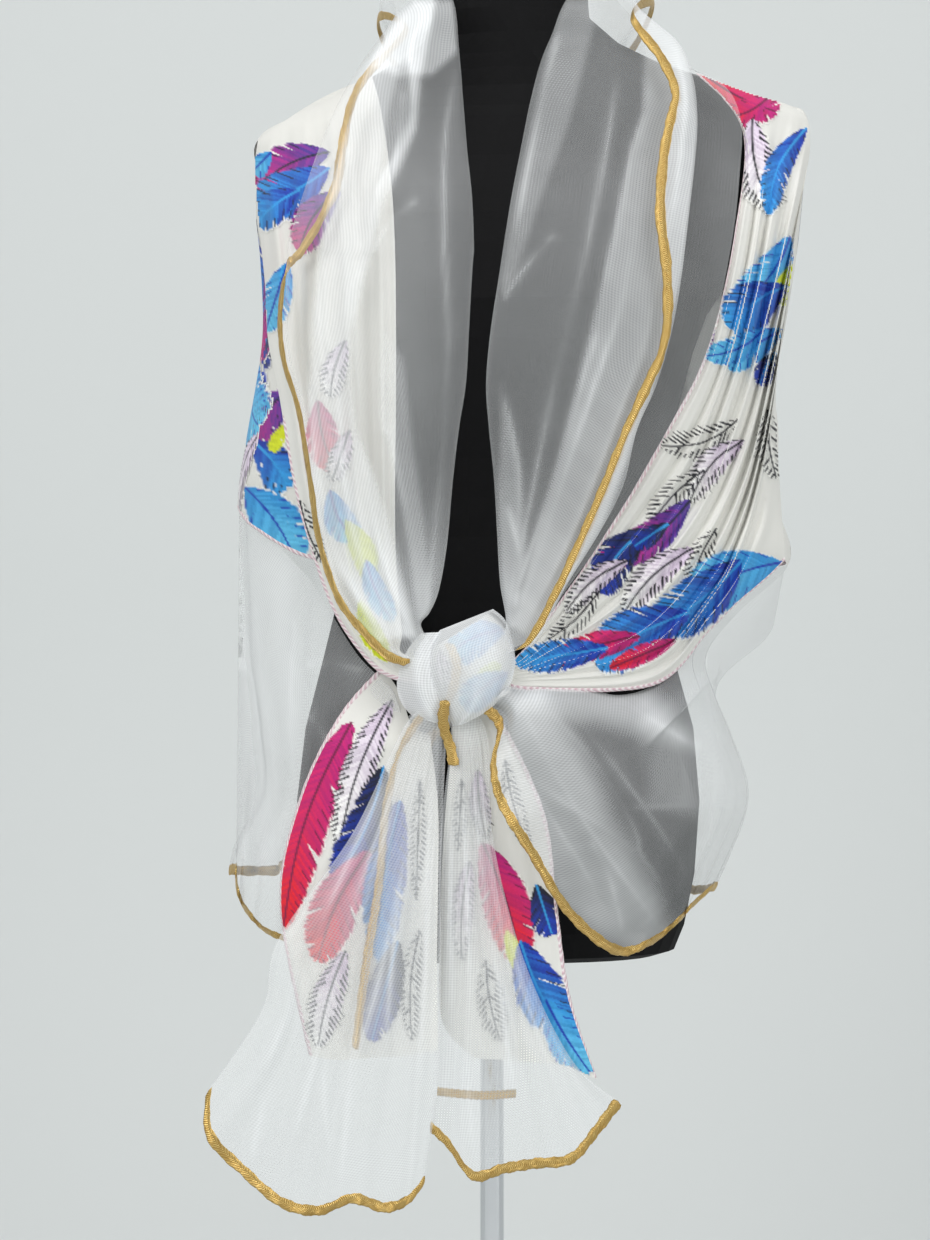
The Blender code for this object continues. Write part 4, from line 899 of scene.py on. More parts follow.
# Round the neck: for the roll, the outer layer and the seam, each an angle in degrees from +X
# towards the back, a reach from the neck's centre and a height, in millimetres
NECK_CENTRE = (0.0135, 0.003)
NECK_ROLL = [
    (-20, 72, 1384, -2, 114, 1374, 3, 146, 1308), (15, 76, 1400, 30, 114, 1346, 28, 124, 1311),
    (52, 76, 1409, 60, 109, 1304, 60, 94, 1310), (90, 75, 1412, 90, 104, 1284, 90, 80, 1309),
    (128, 73, 1408, 120, 105, 1302, 120, 86, 1309), (165, 70, 1398, 150, 108, 1340, 150, 98, 1309),
    (203, 68, 1385, 178, 103, 1364, 176, 109, 1310),
]


def roll_path(row, layers):
    """The eight guide points across the roll at one station of its table."""
    seam_x, seam_y, in_x, in_y, out_x, out_y, gold_x, gold_y = row
    first, second, edge = layers
    inward = 1.0 if seam_x > in_x else -1.0
    bend = min(FOLD_PX, abs(seam_x - in_x) * 0.2)
    lip_bend = min(FOLD_PX * 0.45, abs(out_x - gold_x) * 0.4)
    across = [
        (seam_x + inward * SEAM_LAP_PX, seam_y, SEAM_LAP_LIFT),
        (in_x + inward * bend, in_y, first),
        (in_x, in_y, (first + second) / 2),
        (in_x + inward * bend, in_y, second),
    ]
    if (out_x - gold_x) * inward > 2.0:
        across += [
            (out_x - inward * lip_bend, out_y, second),
            (out_x, out_y, (second + edge) / 2),
            (out_x - inward * lip_bend, out_y + (gold_y - out_y) * 0.4, edge),
            (gold_x, gold_y, edge),
        ]
    else:
        across += [
            (out_x - inward * 8, out_y, second),
            (out_x, out_y, second),
            (out_x + (gold_x - out_x) * 0.5, (out_y + gold_y) / 2, second + (edge - second) * 0.2),
            (gold_x, gold_y, second + (edge - second) * 0.5),
        ]
    px, py, proud = np.array(across).T
    base, closeness = pull(px, py)
    return on_drape(px, py, base + proud * closeness)


def neck_path(row):
    """The same eight guide points at one station round the neck."""
    roll_angle, roll_reach, roll_z, out_angle, out_reach, out_z, seam_angle, seam_reach, seam_z = row

    def place(angle, reach, height):
        turn = math.radians(angle)
        x = NECK_CENTRE[0] + reach / 1000 * math.cos(turn)
        y = NECK_CENTRE[1] + reach / 1000 * math.sin(turn)
        return (x, y, height / 1000)

    return np.array([
        place(seam_angle, seam_reach, seam_z),
        place(roll_angle, roll_reach - 2, roll_z - 8),
        place(roll_angle, roll_reach + 1, roll_z),
        place(roll_angle, roll_reach + 7, roll_z - 5),
        place(out_angle, out_reach - 2, out_z + 10),
        place(out_angle, out_reach, out_z),
        place(out_angle, out_reach + 1, out_z - 9),
        place(out_angle, out_reach + 2, out_z - 18),
    ])


print("stations of the roll:", len(RIGHT_ROLL), len(NECK_ROLL), len(LEFT_ROLL))

# %% Columns, creases and layers of the collar
COLLAR_ROWS = 430
# How many columns the sheet has between each two guides
GUIDE_COLUMNS = (34, 8, 8, 40, 6, 6, 12)
# Half widths of a crease's ridge and of its painted bright line, in pixels, and the ridge's height
CREASE_WIDE, CREASE_FINE = 7.0, 2.4
CREASE_LIFT = 0.0026
# The cover of one smooth layer of organza
ONE_LAYER = 0.10
# Crease lines of the upper layer, seen
COLLAR_CREASES = [
    ((425, 15), (411, 49), (413, 92), (411, 129), (396, 159), (381, 184), (371, 233)),
    ((365, 260), (350, 294), (341, 337), (339, 398), (344, 480), (362, 560), (398, 628)),
    ((414, 0), (390, 31), (371, 67), (353, 119), (332, 196), (322, 245), (315, 306), (311, 367)),
    ((311, 367), (312, 420), (322, 500), (344, 570), (384, 636)), ((420, 199), (390, 223), (371, 260)),
    ((392, 250), (384, 331), (381, 373), (384, 429), (390, 435), (405, 512), (414, 576), (418, 628)),
    ((459, 61), (446, 130), (444, 230), (448, 330), (444, 430), (434, 540), (426, 620)),
    ((356, 300), (360, 380), (366, 470), (384, 560), (410, 630)), ((404, 90), (398, 150), (384, 215)),
    ((645, 40), (644, 110), (633, 147), (619, 214), (598, 306), (574, 400), (548, 500), (516, 618)),
    ((668, 30), (684, 90), (682, 140), (674, 200), (660, 270), (642, 350), (614, 430), (570, 540),
        (522, 630)),
    ((557, 232), (530, 262), (499, 306)),
    ((498, 380), (504, 398), (512, 430), (519, 480), (516, 560), (508, 610)),
    ((620, 60), (604, 160), (584, 260), (562, 350), (540, 450), (514, 590)),
    ((560, 30), (544, 90), (530, 160), (514, 240)),
    ((640, 210), (622, 300), (596, 380), (566, 470), (520, 610)),
    ((506, 500), (520, 560), (514, 612)), ((600, 320), (570, 420), (540, 520), (512, 604)),
]
# Where the upper layer folds over itself: how much more it covers, and the outline, seen
COLLAR_LAYERS = [
    (0.34, ((414, 0), (390, 31), (371, 67), (353, 119), (332, 196), (322, 245), (315, 306), (311, 367),
        (312, 407), (310, 480), (330, 560), (380, 640), (416, 636), (402, 580), (388, 520), (372, 470),
        (356, 430), (350, 380), (352, 330), (362, 290), (374, 240), (384, 200), (400, 168), (416, 129),
        (420, 80), (436, 0))),
    (0.26, ((372, 67), (396, 14), (414, 0), (455, 0), (459, 50), (432, 74), (400, 76))),
    (-0.20, ((399, 66), (411, 66), (413, 110), (396, 153), (378, 184), (386, 120))),
    (0.16, ((384, 331), (381, 373), (384, 429), (405, 512), (420, 631), (432, 620), (424, 520), (410, 430),
        (404, 360))),
    (0.26, ((630, 0), (645, 40), (644, 110), (633, 147), (619, 214), (598, 306), (574, 400), (548, 500),
        (530, 560), (512, 625), (530, 640), (600, 535), (650, 400), (685, 270), (699, 122), (690, 60),
        (660, 0))),
    (0.16, ((503, 400), (522, 470), (526, 560), (512, 625), (503, 619), (500, 560), (497, 500))),
    (0.12, ((560, 0), (600, 0), (570, 120), (540, 200), (520, 260), (505, 300), (500, 280), (520, 180))),
]

print("creases of the collar:", len(COLLAR_CREASES))

# %% The collar sheet
right = [roll_path(row, RIGHT_LAYERS) for row in RIGHT_ROLL[::-1]]
neck = [neck_path(row) for row in NECK_ROLL]
left = [roll_path(row, LEFT_LAYERS) for row in LEFT_ROLL]
guides = np.array(right + neck + left)
stations = np.linspace(0, len(guides) - 1, COLLAR_ROWS)
steps = [start + np.arange(count) / count for start, count in enumerate(GUIDE_COLUMNS)]
steps = np.concatenate(steps + [[float(len(GUIDE_COLUMNS))]])
collar_grid = np.moveaxis(fold_curve(np.moveaxis(spline(guides, stations), 1, 0), steps), 0, 1)
normals = grid_normals(collar_grid)
px, py = picture_place(collar_grid)
upper = smooth_step(2.2, 2.8, steps)[None, :]
wide = creases(px, py, COLLAR_CREASES, CREASE_WIDE) * upper
fine = creases(px, py, COLLAR_CREASES, CREASE_FINE) * upper
outward = normals * np.sign(-normals[..., 1:2] + 1e-6)
collar_grid = collar_grid + outward * (CREASE_LIFT * wide)[..., None]
# Painted sheen: the cover goes up in a narrow band along the roll's inner and outer fold lines, where the
# organza turns away and shows whiter.
inner_fold_sheen = np.exp(-(((steps - 2.0) / 0.5) ** 2))[None, :]
outer_fold_sheen = np.exp(-(((steps - 5.0) / 0.5) ** 2))[None, :]
near_knot = np.exp(-((np.hypot(px - KNOT_PX[0], py - KNOT_PX[1]) / 100) ** 2))
cover = ONE_LAYER + 0.08 * smooth_step(0, 1, 1 - steps)[None, :] + 0.12 * inner_fold_sheen + 0.16 * outer_fold_sheen
cover = cover + layers(px, py, COLLAR_LAYERS, 5.0) * upper
# Along the creases the cover goes up partly for the crease itself and partly as a painted highlight, the
# thin bright line of light on the fold.
cover = cover + 0.07 * wide + 0.13 * fine + 0.26 * near_knot
lay("collar_roll", collar_grid, organza, ["right_collar", "neck_collar", "left_collar"],
    np.clip(cover, 0.05, 0.92))
along_edge("collar_gold", *edge_of(collar_grid[6:-4], "last column"), GOLD_WIDTH, GOLD_DEPTH, ribbon,
    ["right_collar_gold", "neck_collar_gold", "left_collar_gold"], "gold_ribbon")

# %% [markdown]
# ## The border at the hips
#
# Below the chiffon the lower border stands away from the body in a soft puff, because organza
# is stiff and the knot lifts it. Its belly and its hem each stand off the drape by the number
# of millimetres in the table.

# %% Hip borders
# Top x, y, hem x, y, seen, and in mm how far the middle and the hem stand off the drape
RIGHT_HIP = [
    (508, 684, 484, 712, 34, 34), (527, 688, 498, 730, 34, 34), (548, 686, 491, 768, 36, 36),
    (582, 687, 500, 806, 37, 34),
    (616, 695, 532, 856, 36, 29), (648, 688, 572, 916, 32, 19), (672, 668, 622, 954, 27, 10),
    (696, 643, 660, 945, 21, 5), (722, 615, 690, 922, 14, 3), (748, 594, 700, 911, 7, 2),
    (785, 571, 724, 890, 2, 1),
]
LEFT_HIP = [
    (424, 706, 444, 736, 6, 4), (404, 716, 432, 745, 4, 2), (394, 692, 416, 810, 6, 2),
    (378, 676, 384, 872, 8, 2), (357, 654, 345, 922, 11, 2), (334, 618, 306, 940, 12, 3),
    (312, 582, 276, 938, 11, 3),
    (290, 558, 252, 920, 9, 2), (264, 532, 238, 896, 6, 2), (239, 512, 236, 872, 2, 1),
]
HIP_CREASES = {
    "right_hip": [
        ((549, 665), (620, 700), (694, 747)),
        ((544, 705), (592, 758), (622, 804), (638, 838), (642, 856), (677, 902)),
        ((534, 778), (562, 801), (603, 827), (640, 854)),
        ((546, 808), (576, 856), (596, 889), (617, 907), (622, 935)),
        ((590, 838), (608, 873), (617, 907)), ((560, 700), (610, 760), (660, 830), (690, 880)),
        ((625, 808), (680, 806), (742, 802)), ((700, 660), (716, 760), (708, 860)),
        ((520, 702), (548, 760), (590, 830), (640, 900), (662, 930)),
    ],
    "left_hip": [
        ((301, 666), (330, 664), (367, 671)), ((307, 714), (325, 738), (340, 800)),
        ((252, 560), (262, 680), (276, 790), (266, 890)), ((296, 600), (290, 720), (300, 830), (290, 920)),
    ],
}
# Where the border folds over itself: how much more it covers, and the outline, seen
HIP_LAYERS = {
    "right_hip": [
        (0.26, ((500, 700), (540, 690), (580, 750), (620, 830), (660, 900), (672, 930), (640, 962),
            (603, 939), (560, 907), (532, 856), (500, 806))),
        (0.30, ((512, 672), (590, 686), (650, 690), (694, 745), (640, 732), (560, 712), (520, 704))),
        (0.12, ((640, 700), (700, 690), (740, 800), (700, 815), (650, 800))),
    ],
    "left_hip": [
        (0.14, ((236, 500), (300, 560), (306, 700), (300, 800), (280, 930), (230, 900), (236, 700))),
    ],
}
# Where the right hip's columns start to be drawn in and are fully so, as shares of its height
DRAWN_IN = (0.16, 0.42)


def drawn_in(px, py):
    """Bring a hip's columns in where its last one would hang past the drape's right outline."""
    height = seen(px[:, -1], py[:, -1], 0.0)[:, 2]
    edge = POLE_PX + sections(height)[1] / READING
    share = np.clip((edge - px[:, 0]) / (px[:, -1] - px[:, 0]), 0, 1)
    share = 1 - (1 - share) * smooth_step(*DRAWN_IN, np.linspace(0, 1, len(share)))
    return px[:, :1] + (px - px[:, :1]) * share[:, None]


print("the right hip is drawn in between the shares", DRAWN_IN, "of its height")

# %% Hip sheets
# How far each one's top lies behind the front that it is sewn to, in metres
TUCKS = {"right_hip": 0.004, "left_hip": 0.0095}
HIP_CREASE_LIFT, HIP_RIPPLE, HIP_RIPPLES = 0.0014, 0.0022, 58
# Half widths of a crease's ridge and of its painted bright line, in pixels
HIP_CREASE_WIDE, HIP_CREASE_FINE = 9.0, 2.6
HIP_COVER, KNOT_SIDE_COVER = 0.18, 0.28
HIP_LOWEST, IN_FRONT = 0.60, 0.0006

for name, table in (("right_hip", RIGHT_HIP), ("left_hip", LEFT_HIP)):
    table = np.array(table, float)
    lines = spline(table, np.linspace(0, len(table) - 1, 190))
    down = np.linspace(0, 1, 84)[:, None]
    px = lines[:, 0] + (lines[:, 2] - lines[:, 0]) * down
    py = lines[:, 1] + (lines[:, 3] - lines[:, 1]) * down
    px = drawn_in(px, py) if name == "right_hip" else px
    belly = lines[:, 4] / 1000 * np.sin(math.pi * down) ** 0.8
    hem = lines[:, 5] / 1000 * smooth_step(0, 0.9, down)
    top = (pull(px, py)[0] - TUCKS[name]) * (1 - smooth_step(0, 0.8, down))
    wide = creases(px, py, HIP_CREASES[name], HIP_CREASE_WIDE)
    fine = creases(px, py, HIP_CREASES[name], HIP_CREASE_FINE)
    last = np.linspace(0, 1, lines.shape[0])[None, :]
    quiet = (1 - smooth_step(0.86, 1.0, last)) * smooth_step(0.0, 0.12, down)
    ripple = HIP_RIPPLE * smooth_step(0.5, 1.0, down) * np.sin(last * HIP_RIPPLES)
    grid = on_drape(px, py, top + np.maximum(belly, hem) + (HIP_CREASE_LIFT * wide + ripple) * quiet)
    grid[:, -1] = to_outline(grid[:, -1], name.split("_")[0], HIP_LOWEST)
    grid[..., 1] = np.minimum(grid[..., 1], -IN_FRONT)
    knot_side = np.exp(-((np.hypot(px - KNOT_PX[0], py - KNOT_PX[1]) / 90) ** 2))
    # Along the creases the cover goes up partly for the crease itself and partly as a painted highlight,
    # the bright line of light on the fold.
    cover = HIP_COVER + 0.05 * wide + 0.07 * fine + KNOT_SIDE_COVER * knot_side
    cover = cover + layers(px, py, HIP_LAYERS[name], 16.0)
    lay(name + "_border", grid, organza, [name + "_organza"], np.clip(cover, 0, 0.9))
    along_edge(name + "_border_gold", *edge_of(grid[:, :-1], "last row"), GOLD_WIDTH, GOLD_DEPTH, ribbon,
        [name + "_gold"], "gold_ribbon")

# %% [markdown]
# ## The knot
#
# Inside the knot the print shows faintly through white organza. A rounded core carries the
# printed chiffon, the border is wrapped over it in lengthwise gathers, and a soft fold of it
# stands out at the left.

# %% Sizes and tables of the knot
KNOT_WIDTH, KNOT_HEIGHT, KNOT_DEPTH = 0.072, 0.090, 0.066
BAND_LIFT = 0.0020
# Left x, y and right x, y of the wrapped stretch and of the fold beside it, seen, from the top down
KNOT_WRAP = [
    (440, 630, 493, 609), (429, 645, 505, 620), (424, 662, 513, 643), (429, 682, 515, 666),
    (439, 699, 508, 688), (447, 714, 490, 709), (453, 727, 464, 724),
]
KNOT_FOLD = [
    (421, 633, 442, 632), (408, 649, 434, 652), (399, 669, 434, 674), (397, 688, 440, 696),
    (402, 704, 447, 713), (412, 716, 452, 728),
]
# The gold edge that lies between the core and the wrap, seen
KNOT_GOLD = [(449, 643), (455, 656), (457, 670), (454, 687), (449, 702)]

# Two flats that the wrap presses on the core, each seen from one end to the other
KNOT_BEVELS = [((426, 652), (494, 610)), ((516, 688), (456, 728))]

low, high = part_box("knot_core")
knot_centre = (np.array(low) + np.array(high)) / 2
knot_reach = np.array([KNOT_WIDTH, KNOT_DEPTH, KNOT_HEIGHT]) / 2
print("knot centre", knot_centre.round(4).tolist())

# %% Knot core
rise = np.linspace(-math.pi / 2, math.pi / 2, 70)[:, None]
turn = np.linspace(0, 2 * math.pi, 121)[None, :]
gathers = 1 - 0.035 * (0.5 + 0.5 * np.cos(turn * 11 + rise * 1.5)) * np.cos(rise) ** 0.5
core_grid = np.stack([
    knot_centre[0] + knot_reach[0] * gathers * np.cos(rise) * np.cos(turn),
    knot_centre[1] + knot_reach[1] * gathers * np.cos(rise) * np.sin(turn),
    knot_centre[2] + knot_reach[2] * np.sin(rise) + 0 * turn,
], axis=-1)
for (ax, ay), (bx, by) in KNOT_BEVELS:
    px, py = picture_place(core_grid)
    along = np.array([bx - ax, by - ay]) / math.hypot(bx - ax, by - ay)
    outside = np.maximum((px - ax) * along[1] - (py - ay) * along[0], 0)
    core_grid[..., 0] -= outside * along[1] * READING
    core_grid[..., 2] -= outside * along[0] * READING
lay("knot_inner", core_grid, chiffon, ["knot_core"])

# %% The wrapped stretch
WRAP_PUFF, WRAP_GATHER = 0.005, 0.0010


def on_knot(px, py, lift):
    """The point of the knot's front seen at a pixel, moved out by lift."""
    reach = np.array([KNOT_WIDTH, KNOT_DEPTH, KNOT_HEIGHT])[:, None, None] / 2 + lift
    y = knot_centre[1] - reach[1] * np.ones(np.shape(px))
    for _ in range(6):
        place = seen(px, py, y)
        share = ((place[..., 0] - knot_centre[0]) / reach[0]) ** 2
        share = share + ((place[..., 2] - knot_centre[2]) / reach[2]) ** 2
        y = knot_centre[1] - reach[1] * np.sqrt(np.maximum(1 - share, 0.0))
    return seen(px, py, y)


across = np.linspace(0, 1, 90)[None, :]
down = np.linspace(0, 1, 100)[:, None]
rows = spline(KNOT_WRAP, down[:, 0] * (len(KNOT_WRAP) - 1))
px = rows[:, 0:1] + (rows[:, 2:3] - rows[:, 0:1]) * across
py = rows[:, 1:2] + (rows[:, 3:4] - rows[:, 1:2]) * across
puff = WRAP_PUFF * np.sin(math.pi * across) ** 0.7 * np.sin(math.pi * down) ** 0.7
gather = np.sin(across * 10 + 2.2 * down) * (0.25 + 0.75 * down)
gather = gather + 0.5 * np.sin(across * 19 - 3 * down) * down
wrap_grid = on_knot(px, py, BAND_LIFT + puff + WRAP_GATHER * gather)
# Painted highlight and sheen: the cover goes up on the tops of the gathers and along the wrap's rim, where
# it turns round the core.
rim = 1 - np.minimum(np.minimum(across, 1 - across), np.minimum(down, 1 - down)) / 0.06
cover = 0.66 + 0.08 * np.clip(gather, 0, 1) + 0.16 * np.clip(rim, 0, 1)
lay("knot_wrap", wrap_grid, organza, ["knot_band"], cover)

# %% The fold at the knot's left
FOLD_BEHIND, FOLD_ARCH, FOLD_GATHER = 0.002, 0.013, 0.0011

down = np.linspace(0, 1, 80)[:, None]
arch = np.linspace(1, 0, 60)[None, :]
rows = spline(KNOT_FOLD, down[:, 0] * (len(KNOT_FOLD) - 1))
px = rows[:, 2:3] + (rows[:, 0:1] - rows[:, 2:3]) * arch
py = rows[:, 3:4] + (rows[:, 1:2] - rows[:, 3:4]) * arch
start = on_knot(rows[:, 2:3], rows[:, 3:4], BAND_LIFT / 2)[..., 1]
y = start * (1 - arch) + (knot_centre[1] + FOLD_BEHIND) * arch - FOLD_ARCH * np.sin(math.pi * arch) ** 0.8
gather = np.sin(arch * 12 + 3 * down) * np.sin(math.pi * arch)
fold_grid = seen(px, py, y - FOLD_GATHER * gather)
# Painted highlight and sheen: the cover goes up on the tops of the gathers and at the fold's outer edge,
# where it turns away.
lay("knot_side_fold", fold_grid, organza, ["knot_lobe"],
    0.80 + 0.08 * np.clip(gather, 0, 1) + 0.10 * smooth_step(0.9, 1, arch))

# %% The gold edge seen through the wrap
path = spline(KNOT_GOLD, np.linspace(0, len(KNOT_GOLD) - 1, 30))
middle = on_knot(path[None, :, 0], path[None, :, 1], BAND_LIFT / 2)[0]
edge = middle - np.array([GOLD_WIDTH / 2, 0, 0])
normals = np.broadcast_to(np.array([0.0, -1.0, 0.0]), middle.shape)
along_edge("knot_inner_gold", edge, middle, normals, GOLD_WIDTH * 0.9, GOLD_DEPTH * 0.6, ribbon, [],
    "gold_ribbon", 0.5)

# %% [markdown]
# ## The hanging ends
#
# Below the knot each end hangs in three layers: the printed chiffon behind, a loose inner layer
# of organza, and the outer organza with its gold hem. The layers lie together under the knot
# and come apart further down.

# %% Tables of the hanging layers
# One line a row, seen: x, y at each station from knot to hem
TAILS = {
    "left_tail_chiffon": [
        ((380, 668), (338, 717), (299, 800), (280, 905), (309, 1056)),
        ((392, 682), (358, 764), (322, 850), (302, 930), (338, 1060)),
        ((402, 700), (380, 790), (350, 870), (335, 945), (368, 1058)),
        ((412, 726), (404, 800), (392, 880), (388, 960), (404, 1056)),
        ((430, 735), (438, 805), (438, 885), (437, 965), (438, 1050)),
    ],
    "left_tail_inner_organza": [
        ((404, 737), (384, 800), (376, 880), (362, 968), (352, 1048)),
        ((414, 742), (402, 810), (395, 890), (385, 975), (378, 1060)),
        ((428, 746), (424, 815), (420, 895), (412, 980), (404, 1058)),
        ((439, 749), (438, 820), (436, 900), (434, 985), (430, 1054)),
    ],
    "left_tail_organza": [
        ((402, 730), (352, 834), (278, 940), (262, 1010), (206, 1094)),
        ((407, 732), (362, 842), (295, 952), (274, 1040), (207, 1138)),
        ((412, 734), (374, 850), (318, 962), (290, 1062), (243, 1176)),
        ((417, 736), (385, 856), (340, 971), (312, 1080), (281, 1207)),
        ((423, 738), (396, 860), (362, 977), (338, 1090), (318, 1215)),
        ((429, 740), (408, 863), (385, 981), (365, 1095), (352, 1203)),
        ((435, 742), (420, 865), (408, 985), (395, 1095), (384, 1212)),
        ((441, 744), (432, 867), (426, 985), (420, 1090), (408, 1204)),
        ((446, 746), (441, 868), (441, 985), (438, 1081), (424, 1184)),
    ],
    "right_tail_chiffon": [
        ((452, 742), (444, 830), (440, 930), (442, 1020), (474, 1058)),
        ((474, 742), (474, 830), (475, 930), (495, 1015), (530, 1062)),
        ((486, 740), (495, 835), (505, 930), (530, 1010), (566, 1066)),
        ((497, 736), (520, 835), (535, 925), (552, 1000), (584, 1074)),
        ((507, 730), (545, 815), (557, 905), (570, 996), (597, 1079)),
    ],
    "right_tail_inner_organza": [
        ((459, 746), (452, 830), (446, 940), (441, 1030), (437, 1095)),
        ((468, 746), (470, 835), (474, 950), (478, 1040), (480, 1099)),
        ((480, 744), (490, 840), (508, 960), (518, 1045), (516, 1097)),
    ],
    "right_tail_organza": [
        ((450, 748), (441, 830), (438, 940), (434, 1060), (430, 1131)),
        ((458, 748), (455, 832), (458, 950), (452, 1070), (448, 1148)),
        ((464, 747), (466, 834), (472, 960), (470, 1085), (473, 1180)),
        ((468, 746), (474, 836), (486, 965), (500, 1085), (504, 1173)),
        ((473, 745), (480, 838), (500, 965), (522, 1080), (535, 1168)),
        ((478, 744), (486, 838), (510, 962), (545, 1070), (572, 1163)),
        ((483, 742), (490, 838), (518, 960), (562, 1062), (597, 1136)),
        ((488, 739), (493, 838), (524, 960), (572, 1060), (622, 1104)),
    ],
}
# Depth in front of the pole under the knot and further down, and how deep the folds are
TAIL_DEPTHS = {
    "left_tail_organza": (0.1436, 0.1620, 0.0022), "left_tail_inner_organza": (0.1418, 0.1545, 0.0012),
    "left_tail_chiffon": (0.1400, 0.1480, 0.0016), "right_tail_organza": (0.1436, 0.1445, 0.0014),
    "right_tail_inner_organza": (0.1418, 0.1395, 0.0008), "right_tail_chiffon": (0.1400, 0.1350, 0.0010),
}
TAILS_PART = (0.765, 0.650)
# Where the layers come together inside the knot, seen, and the share of their width they keep there
KNOT_FOOT, DRAWN_TOGETHER = (452.0, 706.0), 0.55
# How far the printed layer's top goes back behind the knot's fold, and between which heights
TOP_BACK, TOP_BACK_AT = 0.024, (0.770, 0.815)
TAIL_CREASES = [
    ((402, 760), (372, 850), (340, 950), (318, 1050), (290, 1150)),
    ((420, 760), (404, 850), (392, 960), (384, 1080)),
    ((432, 760), (428, 860), (424, 980), (416, 1100), (410, 1190)),
    ((390, 770), (340, 880), (300, 980), (262, 1080)),
    ((396, 800), (366, 900), (356, 1010), (346, 1120), (340, 1190)),
    ((408, 820), (390, 930), (362, 1040), (312, 1160)),
    ((462, 770), (466, 870), (470, 980), (468, 1080), (474, 1160)),
    ((474, 780), (484, 880), (500, 990), (514, 1100)),
    ((482, 800), (500, 900), (530, 1010), (560, 1100)), ((452, 780), (450, 900), (452, 1020), (444, 1110)),
    ((300, 960), (286, 1030), (262, 1110), (250, 1170)), ((330, 1000), (324, 1080), (330, 1160)),
]


def tail_y(name, z):
    """The y of a hanging layer at a height, before its folds."""
    together, apart, _ = TAIL_DEPTHS[name]
    share = 1 - smooth_step(TAILS_PART[1], TAILS_PART[0], z)
    return -(together + (apart - together) * share)


def up_into_knot(lines):
    """Carry the lines of a hanging layer on, up into the knot, where they are drawn together."""
    foot_x, foot_y = KNOT_FOOT
    inside_x = foot_x + (lines[:, 0, 0] - foot_x) * DRAWN_TOGETHER
    inside = np.stack([inside_x, np.full(len(lines), foot_y)], axis=-1)
    return np.concatenate([inside[:, None], lines], axis=1)


# %% Lay the hanging layers
TAIL_COVER = {"left_tail_inner_organza": 0.18, "left_tail_organza": 0.30, "right_tail_inner_organza": 0.18,
    "right_tail_organza": 0.30}
tail_grids = {}
for name, lines in TAILS.items():
    lines = np.array(lines, float) if name == "left_tail_chiffon" else up_into_knot(np.array(lines, float))
    rail_at = np.linspace(0, len(lines) - 1, 110)
    rows = 140
    path = spline(np.moveaxis(spline(lines, rail_at), 1, 0), np.linspace(0, lines.shape[1] - 1, rows))
    down = np.linspace(0, 1, rows)[:, None]
    wave = TAIL_DEPTHS[name][2] * np.cos(math.pi * rail_at)[None, :] * smooth_step(0.05, 0.5, down)
    tucks = 0.0008 * np.sin(rail_at * 7.7 + 2 * down) * smooth_step(0.1, 0.3, down)
    px, py = path[..., 0], path[..., 1]
    level = seen(px, py, -TAIL_DEPTHS[name][0])[..., 2]
    is_organza = name.endswith("organza")
    wide = creases(px, py, TAIL_CREASES, 8.0) if is_organza else np.zeros(px.shape)
    fine = creases(px, py, TAIL_CREASES, 2.4) if is_organza else np.zeros(px.shape)
    settled = smooth_step(0.12, 0.3, down)
    grid = seen(px, py, tail_y(name, level) + wave + tucks - 0.0012 * wide * settled)
    if name == "left_tail_chiffon":
        grid[..., 1] += TOP_BACK * smooth_step(*TOP_BACK_AT, grid[..., 2])
    tail_grids[name] = grid
    knot_side = np.exp(-((down / 0.16) ** 2))
    if is_organza:
        # Along the creases the cover goes up partly for the crease itself and partly as a painted
        # highlight, the bright line of light on the fold.
        cover = TAIL_COVER[name] + 0.08 * wide + 0.14 * fine + 0.25 * knot_side
        lay(name.replace("_organza", "_border"), grid, organza, [name], np.clip(cover, 0, 0.92))
    else:
        lay(name.replace("_chiffon", "_print_cloth"), grid, chiffon, [name])
    if name.endswith("_tail_organza"):
        along_edge(name.replace("_organza", "_border_gold"), *edge_of(grid, "last row"), GOLD_WIDTH,
            GOLD_DEPTH, ribbon, [name.replace("_organza", "_gold")], "gold_ribbon")

# %% Gold and overlocked edges of the hanging layers
INNER_GOLD = 0.8
for name, side in (("left_tail_inner_organza", "first column"), ("right_tail_inner_organza", "last row")):
    along_edge(name.replace("_organza", "_gold"), *edge_of(tail_grids[name], side), GOLD_WIDTH * INNER_GOLD,
        GOLD_DEPTH * INNER_GOLD, ribbon, [], "gold_ribbon")
along_edge("right_tail_overlock", *edge_of(tail_grids["right_tail_chiffon"], "last column"), OVERLOCK_WIDTH,
    OVERLOCK_DEPTH, overlock, [], "chiffon")
along_edge("left_tail_overlock", *edge_of(tail_grids["left_tail_chiffon"], "first column"), OVERLOCK_WIDTH,
    OVERLOCK_DEPTH, overlock, [], "chiffon")

# %% Gold end at the knot
# It leaves the knot and lies on the left tail, seen
KNOT_END = [(446, 700), (443, 716), (445, 732), (450, 746), (454, 766)]
KNOT_END_TOP = 0.1622
GOLD_CLEAR = 0.0022
path = spline(KNOT_END, np.linspace(0, len(KNOT_END) - 1, 40))
level = seen(path[:, 0], path[:, 1], -KNOT_END_TOP)[:, 2]
leaving = smooth_step(KNOT_END[0][1], KNOT_END[-2][1], path[:, 1])
y = -KNOT_END_TOP * (1 - leaving) + (tail_y("left_tail_organza", level) - GOLD_CLEAR) * leaving
middle = seen(path[:, 0], path[:, 1], y)
edge = middle - np.array([GOLD_WIDTH / 2, 0, 0])
normals = np.broadcast_to(np.array([0.0, -1.0, 0.0]), middle.shape)
along_edge("knot_end_gold", edge, middle, normals, GOLD_WIDTH, GOLD_DEPTH, ribbon, ["knot_gold"],
    "gold_ribbon", 0.5)

